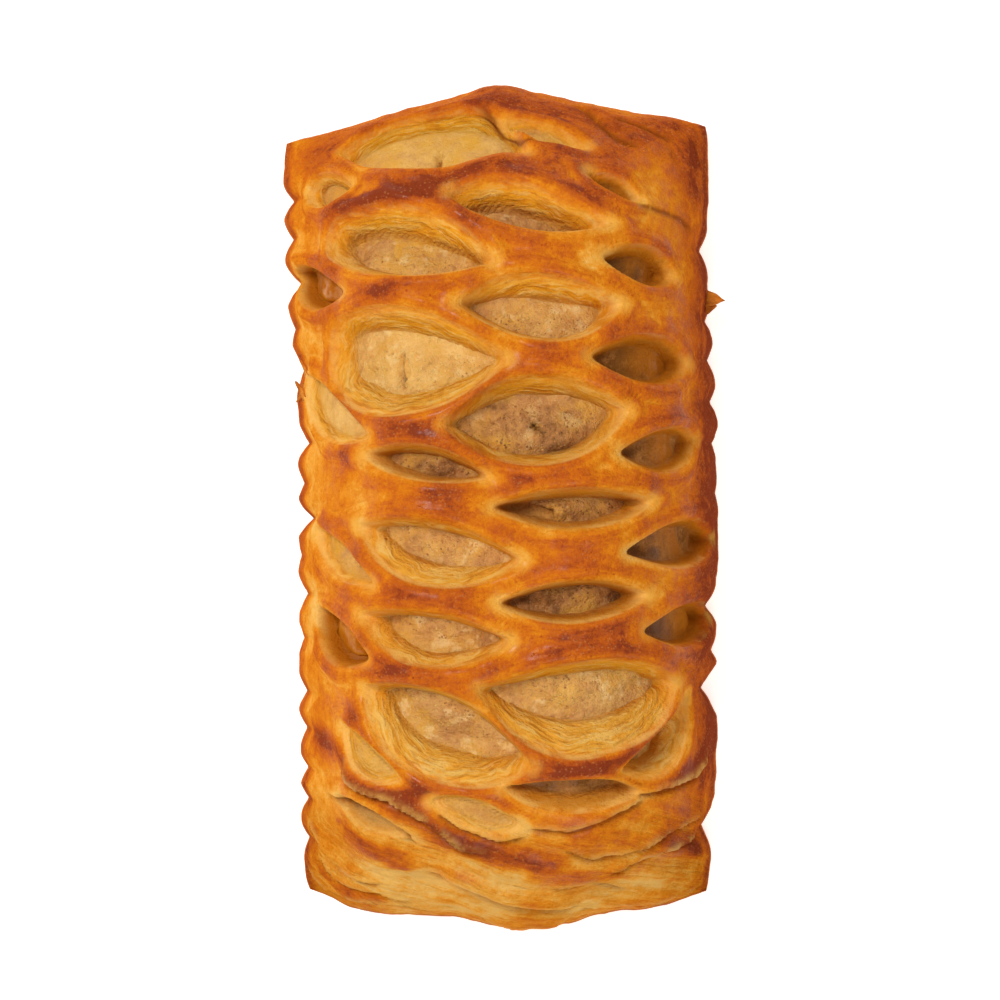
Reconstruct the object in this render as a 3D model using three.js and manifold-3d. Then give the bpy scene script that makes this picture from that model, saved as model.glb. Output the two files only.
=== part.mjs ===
import * as THREE from 'three';
import { mergeVertices } from 'three/addons/utils/BufferGeometryUtils.js';
import Module from 'manifold-3d';

// Baked pastry roll: a slit lattice sheet of puff pastry wrapped round a long filling, lying on
// its flat underside. Millimetres, length along Y, height along Z.

// Body of the roll
const HALF_WIDTH = 32.1;
const HALF_WIDTH_GROWTH = 0.9;
const HALF_LENGTH = 64;
const HEIGHT = 34;
const FOOT_HEIGHT = 4;
const SIDE_POWER = 3.6;
const END_POWER = 4.4;
const SHOULDER_FULLNESS = 0.82;

// The two ends as cut and baked: reach along the length at nine evenly spaced stations, left to right
const FAR_END = [57.3, 58.7, 61.4, 63.5, 65.5, 64.1, 62.5, 61.0, 60.0];
const NEAR_END = [60.2, 62.8, 63.6, 63.8, 65.6, 65.1, 63.1, 62.3, 60.5];

// The roll lies slightly bent: its middle line moves sideways over this stretch of the length
const MIDDLE_LINE_X = 1.1;
const MIDDLE_LINE_BEND = -1.9;
const BEND_FROM = 12;
const BEND_TO = 42;
const CORNER_PULL = 0.7;

// Pastry sheet
const SHEET = 4.7;
const BOTTOM_SHEET = 3.5;
const END_WALL = 6.6;
const RIDGE_RISE = 0.9;
const RIDGE_REACH = 6;
const POCKET_DEPTH = 6.4;
const EDGE_ROUND = 1.8;
const SMALL_EDGE_ROUND = 1.1;
const TIP_ROUND = 0.9;
const CUT_END_ROUND = 3;
const FLOOR_INSET = 1.4;
const LID_RISE = 4;

// Scalloped seam along both long sides: how far its lobes stand out, and the notches between them,
// each with its place along the length, depth and reach
const LEFT_SEAM_OUT = 0.5;
const RIGHT_SEAM_OUT = 0.15;
const SEAM_FADE = 14;
const LEFT_NOTCHES = [
  [47.7, 1.1, 2.8], [41.8, 0.9, 2.8], [34.8, 1.5, 3.4], [27.8, 0.5, 2.8], [21.5, 1.0, 4.0],
  [10.0, 1.2, 3.2], [3.7, 0.6, 2.6], [-1.7, 1.5, 3.0], [-7.6, 0.3, 2.4], [-13.4, 1.0, 3.4],
  [-20.4, 0.6, 2.8], [-28.6, 0.9, 3.0], [-34.4, 0.8, 2.8], [-40.6, 0.8, 2.6], [-45.4, 0.8, 2.6],
  [-51.5, 0.8, 3.0],
];
const RIGHT_NOTCHES = [
  [40.0, 0.8, 3.5], [29.1, 0.6, 2.8], [22.9, 0.7, 2.8], [16.3, 0.8, 2.8], [10.0, 0.6, 2.8],
  [2.2, 0.3, 2.6], [-15.4, 1.3, 3.2], [-22.4, 0.5, 2.6], [-28.1, 1.7, 4.5], [-49.6, 1.3, 5.0],
];

// Rounded foot under the edge of the sheet: height of each loop and how far it stands out
const FOOT_LOOPS = [
  { height: 1.7, out: 0.2 },
  { height: 0, out: -1.0 },
];

// Rolled folds at the near end
const FOLD_PITCH = 8;
const FOLD_DEPTH = 0.7;
const FOLD_FROM = -46;
const FOLD_SLANT = 0.34;

// Filling
const GAP = 0.3;
const FILLING_LUMP = 0.7;

// Fineness of the surfaces
const SIDE_STEP = 3.9;
const LENGTH_STEP = 2.07;
const END_STEP = 4.4;
const END_SLOPE_FROM = 54;
const FINE_COLUMNS = 3;
const INNER_STEP = 7;

// Slits of the lattice, measured on the unrolled sheet.
// across, along: middle of the slit; half: half its length; up, down: how far its two edges bow out;
// tilt in degrees; lean: shift of the widest place; cut: length rounded off its left tip;
// wallUp, wallDown: how far the two inner walls slope in; points round the outline
const SLITS = [
  { across: -10.6, along: 60.7, half: 16.0, up: 9.2, down: 6.9, tilt: -18,
    wallUp: 3.8, wallDown: 0.8, points: 20 },
  { across: 5.0, along: 46.0, half: 12.1, up: 2.2, down: 5.3, tilt: -10, lean: 1.5,
    wallUp: 2.4, wallDown: 0.8, points: 18 },
  { across: -16.5, along: 40.5, half: 16.6, up: 7.2, down: 4.4, tilt: -17.5, lean: 1, cut: 3,
    wallUp: 3.0, wallDown: 1.0, points: 20 },
  { across: 6.0, along: 30.6, half: 12.2, up: 3.3, down: 6.2, tilt: 2,
    wallUp: 2.6, wallDown: 0.8, points: 18 },
  { across: -17.0, along: 24.2, half: 17.4, up: 6.7, down: 10.0, tilt: -10, lean: 2, cut: 4,
    wallUp: 3.2, wallDown: 3.6, points: 22 },
  { across: 4.2, along: 13.5, half: 13.8, up: 5.4, down: 7.1, tilt: 5,
    wallUp: 2.4, wallDown: 1.4, points: 20 },
  { across: -13.2, along: 6.4, half: 10.2, up: 2.9, down: 2.0, tilt: -11,
    wallUp: 1.2, wallDown: 0.6, points: 14 },
  { across: 10.0, along: 0.5, half: 12.7, up: 2.2, down: 3.4, tilt: 2,
    wallUp: 1.2, wallDown: 0.8, points: 18 },
  { across: 23.8, along: 37.6, half: 8.0, up: 3.2, down: 3.0, tilt: -5,
    wallUp: 1.2, wallDown: 0.8, points: 12 },
  { across: 23.4, along: 22.7, half: 10.9, up: 3.9, down: 3.6, tilt: 1,
    wallUp: 1.4, wallDown: 0.8, points: 14 },
  { across: 26.4, along: 9.6, half: 9.8, up: 2.8, down: 3.9, tilt: 8,
    wallUp: 1.0, wallDown: 0.8, points: 12 },
  { across: 31.8, along: -6.0, half: 14.2, up: 4.1, down: 3.1, tilt: 3,
    wallUp: 1.0, wallDown: 0.8, points: 16 },
  { across: 33.7, along: -18.3, half: 12.6, up: 3.4, down: 3.3, tilt: 2,
    wallUp: 1.0, wallDown: 0.8, points: 14 },
  { across: -11.4, along: -5.2, half: 13.3, up: 3.1, down: 6.2, tilt: -10,
    wallUp: 1.2, wallDown: 3.2, points: 18 },
  { across: 10.0, along: -13.5, half: 11.7, up: 2.8, down: 2.9, tilt: 1,
    wallUp: 0.8, wallDown: 0.8, points: 16 },
  { across: -12.0, along: -17.6, half: 12.1, up: 2.1, down: 5.7, tilt: -7,
    wallUp: 1.0, wallDown: 1.6, points: 18 },
  { across: 12.7, along: -26.8, half: 17.1, up: 4.3, down: 9.9, tilt: -1,
    wallUp: 2.0, wallDown: 4.6, points: 22 },
  { across: -10.1, along: -32.2, half: 14.3, up: 4.8, down: 8.7, tilt: -21,
    wallUp: 1.4, wallDown: 4.0, points: 20 },
  { across: 25.2, along: -34.8, half: 9.4, up: 1.2, down: 6.0, tilt: 33,
    wallUp: 0.8, wallDown: 1.4, points: 12 },
  { across: 9.9, along: -42.4, half: 10.9, up: 2.4, down: 2.6, tilt: -8,
    wallUp: 0.8, wallDown: 1.6, points: 14 },
  { across: -4.9, along: -45.8, half: 6.9, up: 2.4, down: 2.5, tilt: -12,
    wallUp: 0.6, wallDown: 1.2, points: 12 },
  { across: -23.4, along: -48.5, half: 9.0, up: 2.6, down: 2.0, tilt: -17,
    wallUp: 0.8, wallDown: 0.8, points: 12 },
  { across: -0.6, along: -64.9, half: 13.5, up: 2.6, down: 1.8, tilt: -24,
    wallUp: 0.8, wallDown: 0.8, points: 12 },
  { across: -31.0, along: -19.6, half: 9.0, up: 2.7, down: 4.2, tilt: -20,
    wallUp: 0.8, wallDown: 0.8, points: 12 },
  { across: -30.6, along: -7.6, half: 9.8, up: 2.6, down: 2.3, tilt: -24,
    wallUp: 0.8, wallDown: 0.8, points: 12 },
  { across: -33.4, along: 16.9, half: 12.0, up: 2.8, down: 4.8, tilt: -28,
    wallUp: 1.2, wallDown: 1.6, points: 12 },
  { across: -36.3, along: 37.9, half: 10.3, up: 2.9, down: 4.3, tilt: -16,
    wallUp: 0.8, wallDown: 0.8, points: 12 },
  { across: -30.6, along: 55.9, half: 7.0, up: 4.0, down: 4.0, tilt: -6,
    wallUp: 1.0, wallDown: 0.8, points: 12 },
  { across: 18.2, along: 51.2, half: 4.9, up: 1.7, down: 1.7, tilt: -25,
    wallUp: 0.6, wallDown: 0.6, points: 10 },
  { across: 7.2, along: 61.1, half: 6.4, up: 1.8, down: 2.1, tilt: -20,
    wallUp: 0.6, wallDown: 0.6, points: 10 },
  { across: -22.9, along: -37.5, half: 7.2, up: 2.0, down: 3.2, tilt: -31,
    wallUp: 0.8, wallDown: 1.6, points: 12 },
];
const SMALL_SLIT = 9;

const wasm = await Module();
wasm.setup();

// Small helpers for curves
function clamp(value, low, high) {
  return Math.min(high, Math.max(low, value));
}

function smoothStep(from, to, value) {
  const k = clamp((value - from) / (to - from), 0, 1);
  return k * k * (3 - 2 * k);
}

function smoothMax(a, b, round) {
  const h = clamp(0.5 + 0.5 * (a - b) / round, 0, 1);
  return b + (a - b) * h + round * h * (1 - h);
}

// A smooth curve through evenly spaced stations; place runs from 0 to the last station
function throughStations(values, place) {
  const last = values.length - 1;
  const u = clamp(place, 0, last);
  const i = Math.min(Math.floor(u), last - 1);
  const f = u - i;
  const before = values[Math.max(i - 1, 0)];
  const here = values[i];
  const next = values[i + 1];
  const after = values[Math.min(i + 2, last)];
  const bow = 2 * before - 5 * here + 4 * next - after;
  return here + 0.5 * f * (next - before + f * (bow + f * (3 * (here - next) + after - before)));
}

// Rounded cross-section walked at even steps: distance along it against reach and height, both 0 to 1
function walkProfile(reach, high, power) {
  const steps = 600;
  const table = { length: [0], out: [0], up: [1] };
  for (let i = 1; i <= steps; i += 1) {
    const angle = (Math.PI / 2) * (i / steps);
    const out = Math.sin(angle) ** (2 / power);
    const up = (1 - out ** power) ** SHOULDER_FULLNESS;
    const run = (out - table.out[i - 1]) * reach;
    const drop = (up - table.up[i - 1]) * high;
    table.length.push(table.length[i - 1] + Math.hypot(run, drop));
    table.out.push(out);
    table.up.push(up);
  }
  table.total = table.length[steps];
  return table;
}

function profileAt(table, distance) {
  const d = clamp(Math.abs(distance), 0, table.total);
  let low = 0;
  let high = table.length.length - 1;
  while (high - low > 1) {
    const middle = (low + high) >> 1;
    if (table.length[middle] > d) {
      high = middle;
    } else {
      low = middle;
    }
  }
  const f = (d - table.length[low]) / (table.length[high] - table.length[low]);
  const out = table.out[low] + f * (table.out[high] - table.out[low]);
  const up = table.up[low] + f * (table.up[high] - table.up[low]);
  return { out: Math.sign(distance) * out, up };
}

const sideProfile = walkProfile(HALF_WIDTH, HEIGHT - FOOT_HEIGHT, SIDE_POWER);
const lengthProfile = walkProfile(HALF_LENGTH, HEIGHT - FOOT_HEIGHT, END_POWER);

// Plain surface of the roll for a place on the sheet, without relief; the three walls shrink it to
// the hollow inside
function rollSurface(across, along, sheet = 0, endWall = 0, floor = FOOT_HEIGHT) {
  const side = profileAt(sideProfile, across);
  const end = profileAt(lengthProfile, along);
  const stations = along > 0 ? FAR_END : NEAR_END;
  const reach = throughStations(stations, (side.out + 1) * 4) - endWall;
  const corner = CORNER_PULL * Math.abs(side.out) ** 8 * Math.abs(end.out) ** 14;
  const y = end.out * reach - Math.sign(along) * corner;
  const half = HALF_WIDTH + HALF_WIDTH_GROWTH * (y / 60) ** 3 - sheet;
  const middle = MIDDLE_LINE_X + MIDDLE_LINE_BEND * smoothStep(BEND_FROM, BEND_TO, y);
  const x = middle + side.out * half - Math.sign(across) * corner;
  const z = floor + (HEIGHT - sheet - floor) * side.up * end.up;
  return new THREE.Vector3(x, y, z);
}

function rollNormal(across, along) {
  const step = 0.4;
  const s = clamp(across, step - sideProfile.total, sideProfile.total - step);
  const t = clamp(along, step - lengthProfile.total, lengthProfile.total - step);
  const alongAcross = rollSurface(s + step, t).sub(rollSurface(s - step, t));
  const alongLength = rollSurface(s, t + step).sub(rollSurface(s, t - step));
  return alongAcross.cross(alongLength).normalize();
}

// Slit outline as two bowed edges, in the slit's own directions: p along it, q across it
function bowedEdges(p, q, half, up, down) {
  const upRadius = (half * half + up * up) / (2 * up);
  const downRadius = (half * half + down * down) / (2 * down);
  const upEdge = Math.hypot(p, q + upRadius - up) - upRadius;
  const downEdge = Math.hypot(p, q - downRadius + down) - downRadius;
  return smoothMax(upEdge, downEdge, TIP_ROUND);
}

function slitFrame(slit, across, along) {
  const angle = THREE.MathUtils.degToRad(slit.tilt);
  const s = across - slit.across;
  const t = along - slit.along;
  const straight = s * Math.cos(angle) + t * Math.sin(angle);
  const q = t * Math.cos(angle) - s * Math.sin(angle);
  const p = straight + (slit.lean ?? 0) * clamp(1 - (straight / slit.half) ** 2, 0, 1);
  return { p, q };
}

// Distance outside the slit's rim on the sheet, negative inside
function rimDistance(slit, across, along) {
  const { p, q } = slitFrame(slit, across, along);
  const edges = bowedEdges(p, q, slit.half, slit.up, slit.down);
  return slit.cut ? smoothMax(edges, slit.cut - slit.half - p, CUT_END_ROUND) : edges;
}

// The same for the smaller outline at the foot of the slit's walls
function footDistance(slit, across, along) {
  const { p, q } = slitFrame(slit, across, along);
  const high = slit.up - slit.wallUp;
  const low = slit.wallDown - slit.down;
  const middle = clamp(0, low + 1, high - 1);
  const edges = bowedEdges(p, q - middle, slit.half - FLOOR_INSET, high - middle, middle - low);
  return slit.cut ? smoothMax(edges, slit.cut + FLOOR_INSET - slit.half - p, CUT_END_ROUND) : edges;
}

const slitTips = SLITS.flatMap((slit) => {
  const angle = THREE.MathUtils.degToRad(slit.tilt);
  const reach = new THREE.Vector2(Math.cos(angle), Math.sin(angle)).multiplyScalar(slit.half);
  const middle = new THREE.Vector2(slit.across, slit.along);
  return [middle.clone().add(reach), middle.clone().sub(reach)];
});

// Height of the baked sheet over the plain roll: strands rise between the slits and stay low where
// slit tips meet, and the near end lies in slanting folds
function relief(across, along) {
  const here = new THREE.Vector2(across, along);
  const nearest = Math.min(...slitTips.map((tip) => tip.distanceTo(here)));
  const open = smoothStep(sideProfile.total, sideProfile.total - 12, Math.abs(across));
  const clear = smoothStep(lengthProfile.total, lengthProfile.total - 12, Math.abs(along));
  const ridge = RIDGE_RISE * (1 - Math.exp(-((nearest / RIDGE_REACH) ** 2)));
  const folded = smoothStep(FOLD_FROM, FOLD_FROM - 8, along);
  const fold = FOLD_DEPTH * Math.sin(2 * Math.PI * (along + FOLD_SLANT * across) / FOLD_PITCH);
  return (ridge + fold * folded) * open * clear;
}

// Scallops stand out sideways along the two long edges
function scallop(across, y) {
  const out = across < 0 ? LEFT_SEAM_OUT : RIGHT_SEAM_OUT;
  const notches = across < 0 ? LEFT_NOTCHES : RIGHT_NOTCHES;
  const cuts = notches.map(([place, depth, reach]) => (
    depth * Math.max(0, 1 - Math.abs(y - place) / reach) ** 1.5
  ));
  const side = smoothStep(sideProfile.total - SEAM_FADE, sideProfile.total, Math.abs(across));
  const clear = smoothStep(HALF_LENGTH, HALF_LENGTH - 6, Math.abs(y));
  return (out * clear - Math.max(...cuts)) * side;
}

// Level direction away from the middle of the roll: sideways at the long edges, lengthways at the ends
function outward(across, along) {
  const side = profileAt(sideProfile, across).out;
  const end = profileAt(lengthProfile, along).out;
  const level = new THREE.Vector3(Math.sign(side) * side ** 10, Math.sign(end) * end ** 10, 0);
  return level.lengthSq() > 0 ? level.normalize() : level;
}

// Point of the baked sheet; rise lifts it off the surface or sinks it in
function sheetPoint(across, along, rise = 0) {
  const normal = rollNormal(across, along);
  const point = rollSurface(across, along);
  const side = new THREE.Vector3(Math.sign(across) * scallop(across, point.y), 0, 0);
  return point.addScaledVector(normal, relief(across, along) + rise).add(side);
}

// Solid from vertices and faces, ready to be joined or cut
function solidFrom(vertices, faces) {
  const vertProperties = new Float32Array(vertices.flatMap((v) => [v.x, v.y, v.z]));
  const triVerts = new Uint32Array(faces.flat());
  return new wasm.Manifold(new wasm.Mesh({ numProp: 3, vertProperties, triVerts }));
}

function spread(total, step) {
  const count = Math.round(2 * total / step);
  return Array.from({ length: count + 1 }, (_, i) => total * (2 * i / count - 1));
}

// Stations along the length: close ones over the top, wider ones on the two end slopes
const slopeLength = lengthProfile.total - END_SLOPE_FROM;
const slopeCount = Math.round(slopeLength / END_STEP);
const topCount = 2 * Math.round(END_SLOPE_FROM / LENGTH_STEP);

function lengthStations() {
  const slope = Array.from({ length: slopeCount }, (_, i) => (
    END_SLOPE_FROM + slopeLength * (i + 1) / slopeCount
  ));
  const top = Array.from({ length: topCount + 1 }, (_, i) => END_SLOPE_FROM * (2 * i / topCount - 1));
  return [...slope.map((t) => -t).reverse(), ...top, ...slope];
}

// Closed dome: a grid over the sheet's places, loops below its edge and a flat underside. In the
// coarse block of columns and rows every patch is two rows long
function dome(stationsAcross, stationsAlong, pointAt, footLoops = [], coarse = null) {
  const vertices = [];
  const faces = [];
  const wide = stationsAcross.length;
  const long = stationsAlong.length;
  const at = (i, j) => j * wide + i;
  stationsAlong.forEach((t) => stationsAcross.forEach((s) => vertices.push(pointAt(s, t))));
  const patch = (i, j, [a, b, c, d]) => {
    const sameSides = (2 * i + 2 > wide) === (2 * j + 2 > long);
    faces.push(...(sameSides ? [[a, b, d], [b, c, d]] : [[a, b, c], [a, c, d]]));
  };
  const longPatch = (i, j) => {
    const corners = [at(i, j), at(i + 1, j), at(i + 1, j + 2), at(i, j + 2)];
    if (i === coarse.columns[0]) {
      const [a, b, c, d] = corners;
      faces.push([at(i, j + 1), a, b], [at(i, j + 1), b, c], [at(i, j + 1), c, d]);
    } else if (i === coarse.columns[1]) {
      const [a, b, c, d] = corners;
      faces.push([at(i + 1, j + 1), c, d], [at(i + 1, j + 1), d, a], [at(i + 1, j + 1), a, b]);
    } else {
      patch(i, j, corners);
    }
  };
  for (let j = 0; j < long - 1; j += 1) {
    for (let i = 0; i < wide - 1; i += 1) {
      const inColumns = coarse && i >= coarse.columns[0] && i <= coarse.columns[1];
      if (!inColumns || j < coarse.rows[0] || j >= coarse.rows[1]) {
        patch(i, j, [at(i, j), at(i + 1, j), at(i + 1, j + 1), at(i, j + 1)]);
      } else if ((j - coarse.rows[0]) % 2 === 0) {
        longPatch(i, j);
      }
    }
  }
  let loop = [];
  for (let i = 0; i < wide; i += 1) loop.push([i, 0]);
  for (let j = 1; j < long; j += 1) loop.push([wide - 1, j]);
  for (let i = wide - 2; i >= 0; i -= 1) loop.push([i, long - 1]);
  for (let j = long - 2; j > 0; j -= 1) loop.push([0, j]);
  const edge = loop.map(([i, j]) => vertices[at(i, j)]);
  const away = loop.map(([i, j]) => outward(stationsAcross[i], stationsAlong[j]));
  loop = loop.map(([i, j]) => at(i, j));
  footLoops.forEach(({ height, out }) => {
    const first = vertices.length;
    edge.forEach((v, k) => {
      vertices.push(v.clone().setZ(height).addScaledVector(away[k], out));
    });
    const next = edge.map((_, k) => first + k);
    next.forEach((a, k) => {
      const after = (k + 1) % next.length;
      faces.push([loop[k], next[after], loop[after]], [loop[k], a, next[after]]);
    });
    loop = next;
  });
  const outline = loop.map((k) => new THREE.Vector2(vertices[k].x, vertices[k].y));
  THREE.ShapeUtils.triangulateShape(outline, []).forEach(([a, b, c]) => {
    faces.push([loop[a], loop[c], loop[b]]);
  });
  return solidFrom(vertices, faces);
}

// Moves a place on the sheet until it lies at the wanted distance from a slit outline
function settle(distanceTo, slit, place, wanted) {
  const step = 0.01;
  let [s, t] = place;
  for (let i = 0; i < 12; i += 1) {
    const miss = distanceTo(slit, s, t) - wanted;
    const slopeS = (distanceTo(slit, s + step, t) - distanceTo(slit, s - step, t)) / (2 * step);
    const slopeT = (distanceTo(slit, s, t + step) - distanceTo(slit, s, t - step)) / (2 * step);
    const steep = Math.max(slopeS * slopeS + slopeT * slopeT, 0.04);
    s -= 0.8 * miss * slopeS / steep;
    t -= 0.8 * miss * slopeT / steep;
  }
  return [s, t];
}

function outlineStart(slit) {
  const angle = THREE.MathUtils.degToRad(slit.tilt);
  return Array.from({ length: slit.points }, (_, i) => {
    const turn = 2 * Math.PI * i / slit.points;
    const p = slit.half * Math.cos(turn);
    const q = Math.sin(turn) * (Math.sin(turn) > 0 ? slit.up : slit.down);
    const s = slit.across + p * Math.cos(angle) - q * Math.sin(angle);
    const t = slit.along + p * Math.sin(angle) + q * Math.cos(angle);
    return [s, t];
  });
}

// The space of one slit: rounded shoulders, then walls that slope in to the foot
function slitSpace(slit) {
  const start = outlineStart(slit);
  const round = slit.half < SMALL_SLIT ? SMALL_EDGE_ROUND : EDGE_ROUND;
  const rings = [
    { distance: rimDistance, wanted: round * 1.15, rise: LID_RISE / 2 },
    { distance: rimDistance, wanted: round * 1.15, rise: round * 0.1 },
    { distance: rimDistance, wanted: round * 0.3, rise: -round * 0.3 },
    { distance: rimDistance, wanted: 0, rise: -round },
    { distance: footDistance, wanted: 0, rise: -POCKET_DEPTH },
  ];
  const vertices = [];
  const faces = [];
  const count = slit.points;
  rings.forEach((ring) => {
    start.forEach((place) => {
      const [s, t] = settle(ring.distance, slit, place, ring.wanted);
      vertices.push(sheetPoint(s, t, ring.rise));
    });
  });
  for (let ring = 0; ring < rings.length - 1; ring += 1) {
    for (let i = 0; i < count; i += 1) {
      const a = ring * count + i;
      const b = ring * count + (i + 1) % count;
      faces.push([a, b + count, b], [a, a + count, b + count]);
    }
  }
  const lid = vertices.length;
  vertices.push(sheetPoint(slit.across, slit.along, LID_RISE));
  vertices.push(sheetPoint(slit.across, slit.along, -POCKET_DEPTH));
  const last = (rings.length - 1) * count;
  for (let i = 0; i < count; i += 1) {
    faces.push([lid, i, (i + 1) % count]);
    faces.push([lid + 1, last + (i + 1) % count, last + i]);
  }
  return solidFrom(vertices, faces);
}

// Surface of the hollow inside the sheet; extra sets the filling back from it, dents give it lumps
function hollowPoint(extra, lump) {
  return (s, t) => {
    const point = rollSurface(s, t, SHEET + extra, END_WALL + extra, BOTTOM_SHEET - extra);
    const dent = lump * (0.5 + 0.5 * Math.sin(point.x / 4.1 + 2) * Math.sin(point.y / 5.3 + 0.7));
    return point.addScaledVector(rollNormal(s, t), -dent * smoothStep(2, 10, point.z - BOTTOM_SHEET));
  };
}

// Block that levels the underside of the filling
function levelBlock(top) {
  const geometry = new THREE.BoxGeometry(4 * HALF_WIDTH, 4 * HALF_LENGTH, HEIGHT);
  geometry.deleteAttribute('normal');
  geometry.deleteAttribute('uv');
  geometry.translate(0, 0, top - HEIGHT / 2);
  const block = mergeVertices(geometry);
  const position = block.getAttribute('position');
  const vertices = Array.from({ length: position.count }, (_, i) => (
    new THREE.Vector3().fromBufferAttribute(position, i)
  ));
  const index = Array.from(block.getIndex().array);
  return solidFrom(vertices, index);
}

function meshFrom(name, solid, material) {
  const { vertProperties, triVerts } = solid.getMesh();
  const geometry = new THREE.BufferGeometry();
  geometry.setAttribute('position', new THREE.BufferAttribute(new Float32Array(vertProperties), 3));
  geometry.setIndex(new THREE.BufferAttribute(new Uint32Array(triVerts), 1));
  const mesh = new THREE.Mesh(geometry, material);
  mesh.name = name;
  return mesh;
}

const across = spread(sideProfile.total, SIDE_STEP);
const along = lengthStations();
const flatTop = {
  columns: [FINE_COLUMNS, across.length - 2 - FINE_COLUMNS],
  rows: [slopeCount, slopeCount + topCount],
};
const body = dome(across, along, (s, t) => sheetPoint(s, t), FOOT_LOOPS, flatTop);

const innerAcross = spread(sideProfile.total, INNER_STEP);
const innerAlong = spread(lengthProfile.total, INNER_STEP);
const hollow = dome(innerAcross, innerAlong, hollowPoint(0, 0));
const core = dome(innerAcross, innerAlong, hollowPoint(GAP, FILLING_LUMP))
  .subtract(levelBlock(BOTTOM_SHEET + GAP));

const crustSolid = SLITS.reduce((solid, slit) => solid.subtract(slitSpace(slit)), body.subtract(hollow));

const crust = meshFrom('crust', crustSolid, new THREE.MeshStandardMaterial({
  color: '#d98a33',
  roughness: 0.45,
  metalness: 0,
}));
const filling = meshFrom('filling', core, new THREE.MeshStandardMaterial({
  color: '#c9a064',
  roughness: 0.6,
  metalness: 0,
}));

// The origin is the middle of the underside
crust.geometry.computeBoundingBox();
const centre = crust.geometry.boundingBox.getCenter(new THREE.Vector3());
[crust, filling].forEach((mesh) => mesh.geometry.translate(-centre.x, -centre.y, 0));

const roll = new THREE.Group();
roll.add(crust, filling);

export default roll;
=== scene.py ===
import math

import bpy
import numpy as np
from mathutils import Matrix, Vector
from mathutils.geometry import delaunay_2d_cdt


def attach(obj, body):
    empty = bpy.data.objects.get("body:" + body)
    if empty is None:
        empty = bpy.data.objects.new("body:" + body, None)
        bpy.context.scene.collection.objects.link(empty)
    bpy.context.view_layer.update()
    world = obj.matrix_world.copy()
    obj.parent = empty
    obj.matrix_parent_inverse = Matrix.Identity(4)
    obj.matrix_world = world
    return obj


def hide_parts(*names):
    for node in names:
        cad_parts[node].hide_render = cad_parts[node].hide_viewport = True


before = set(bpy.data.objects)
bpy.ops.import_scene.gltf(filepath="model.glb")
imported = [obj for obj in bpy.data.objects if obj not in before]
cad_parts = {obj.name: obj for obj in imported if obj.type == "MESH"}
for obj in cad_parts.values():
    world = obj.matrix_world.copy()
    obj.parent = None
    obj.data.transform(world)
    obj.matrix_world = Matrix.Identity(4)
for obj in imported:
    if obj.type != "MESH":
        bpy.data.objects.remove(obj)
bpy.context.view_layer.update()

# Crust. The real piece is a sheet of laminated dough, slit by a lattice roller, stretched over the
# filling, sealed to a base sheet along its scalloped long edges, egg-washed and baked. It is made
# here on the unrolled sheet, in millimetres across and along it, and then bent over the roll.
MILLIMETRE = 0.001

# Body of the roll: its middle before the box is centred, its reach, its rounded cross-sections, the
# two ends as cut and baked at nine even stations from left to right, its slight bend, and the walls
MIDDLE_X = -0.219
MIDDLE_Y = -0.138
HALF_WIDTH = 32.1
HALF_WIDTH_GROWTH = 0.9
HALF_LENGTH = 64
HEIGHT = 34
FOOT_HEIGHT = 4
SIDE_POWER = 3.6
END_POWER = 4.4
SHOULDER_FULLNESS = 0.82
FAR_END = [57.3, 58.7, 61.4, 63.5, 65.5, 64.1, 62.5, 61.0, 60.0]
NEAR_END = [60.2, 62.8, 63.6, 63.8, 65.6, 65.1, 63.1, 62.3, 60.5]
MIDDLE_LINE_X = 1.1
MIDDLE_LINE_BEND = -1.9
BEND_FROM = 12
BEND_TO = 42
CORNER_PULL = 0.7
SHEET = 4.7
BOTTOM_SHEET = 3.5
END_WALL = 6.6

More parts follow.
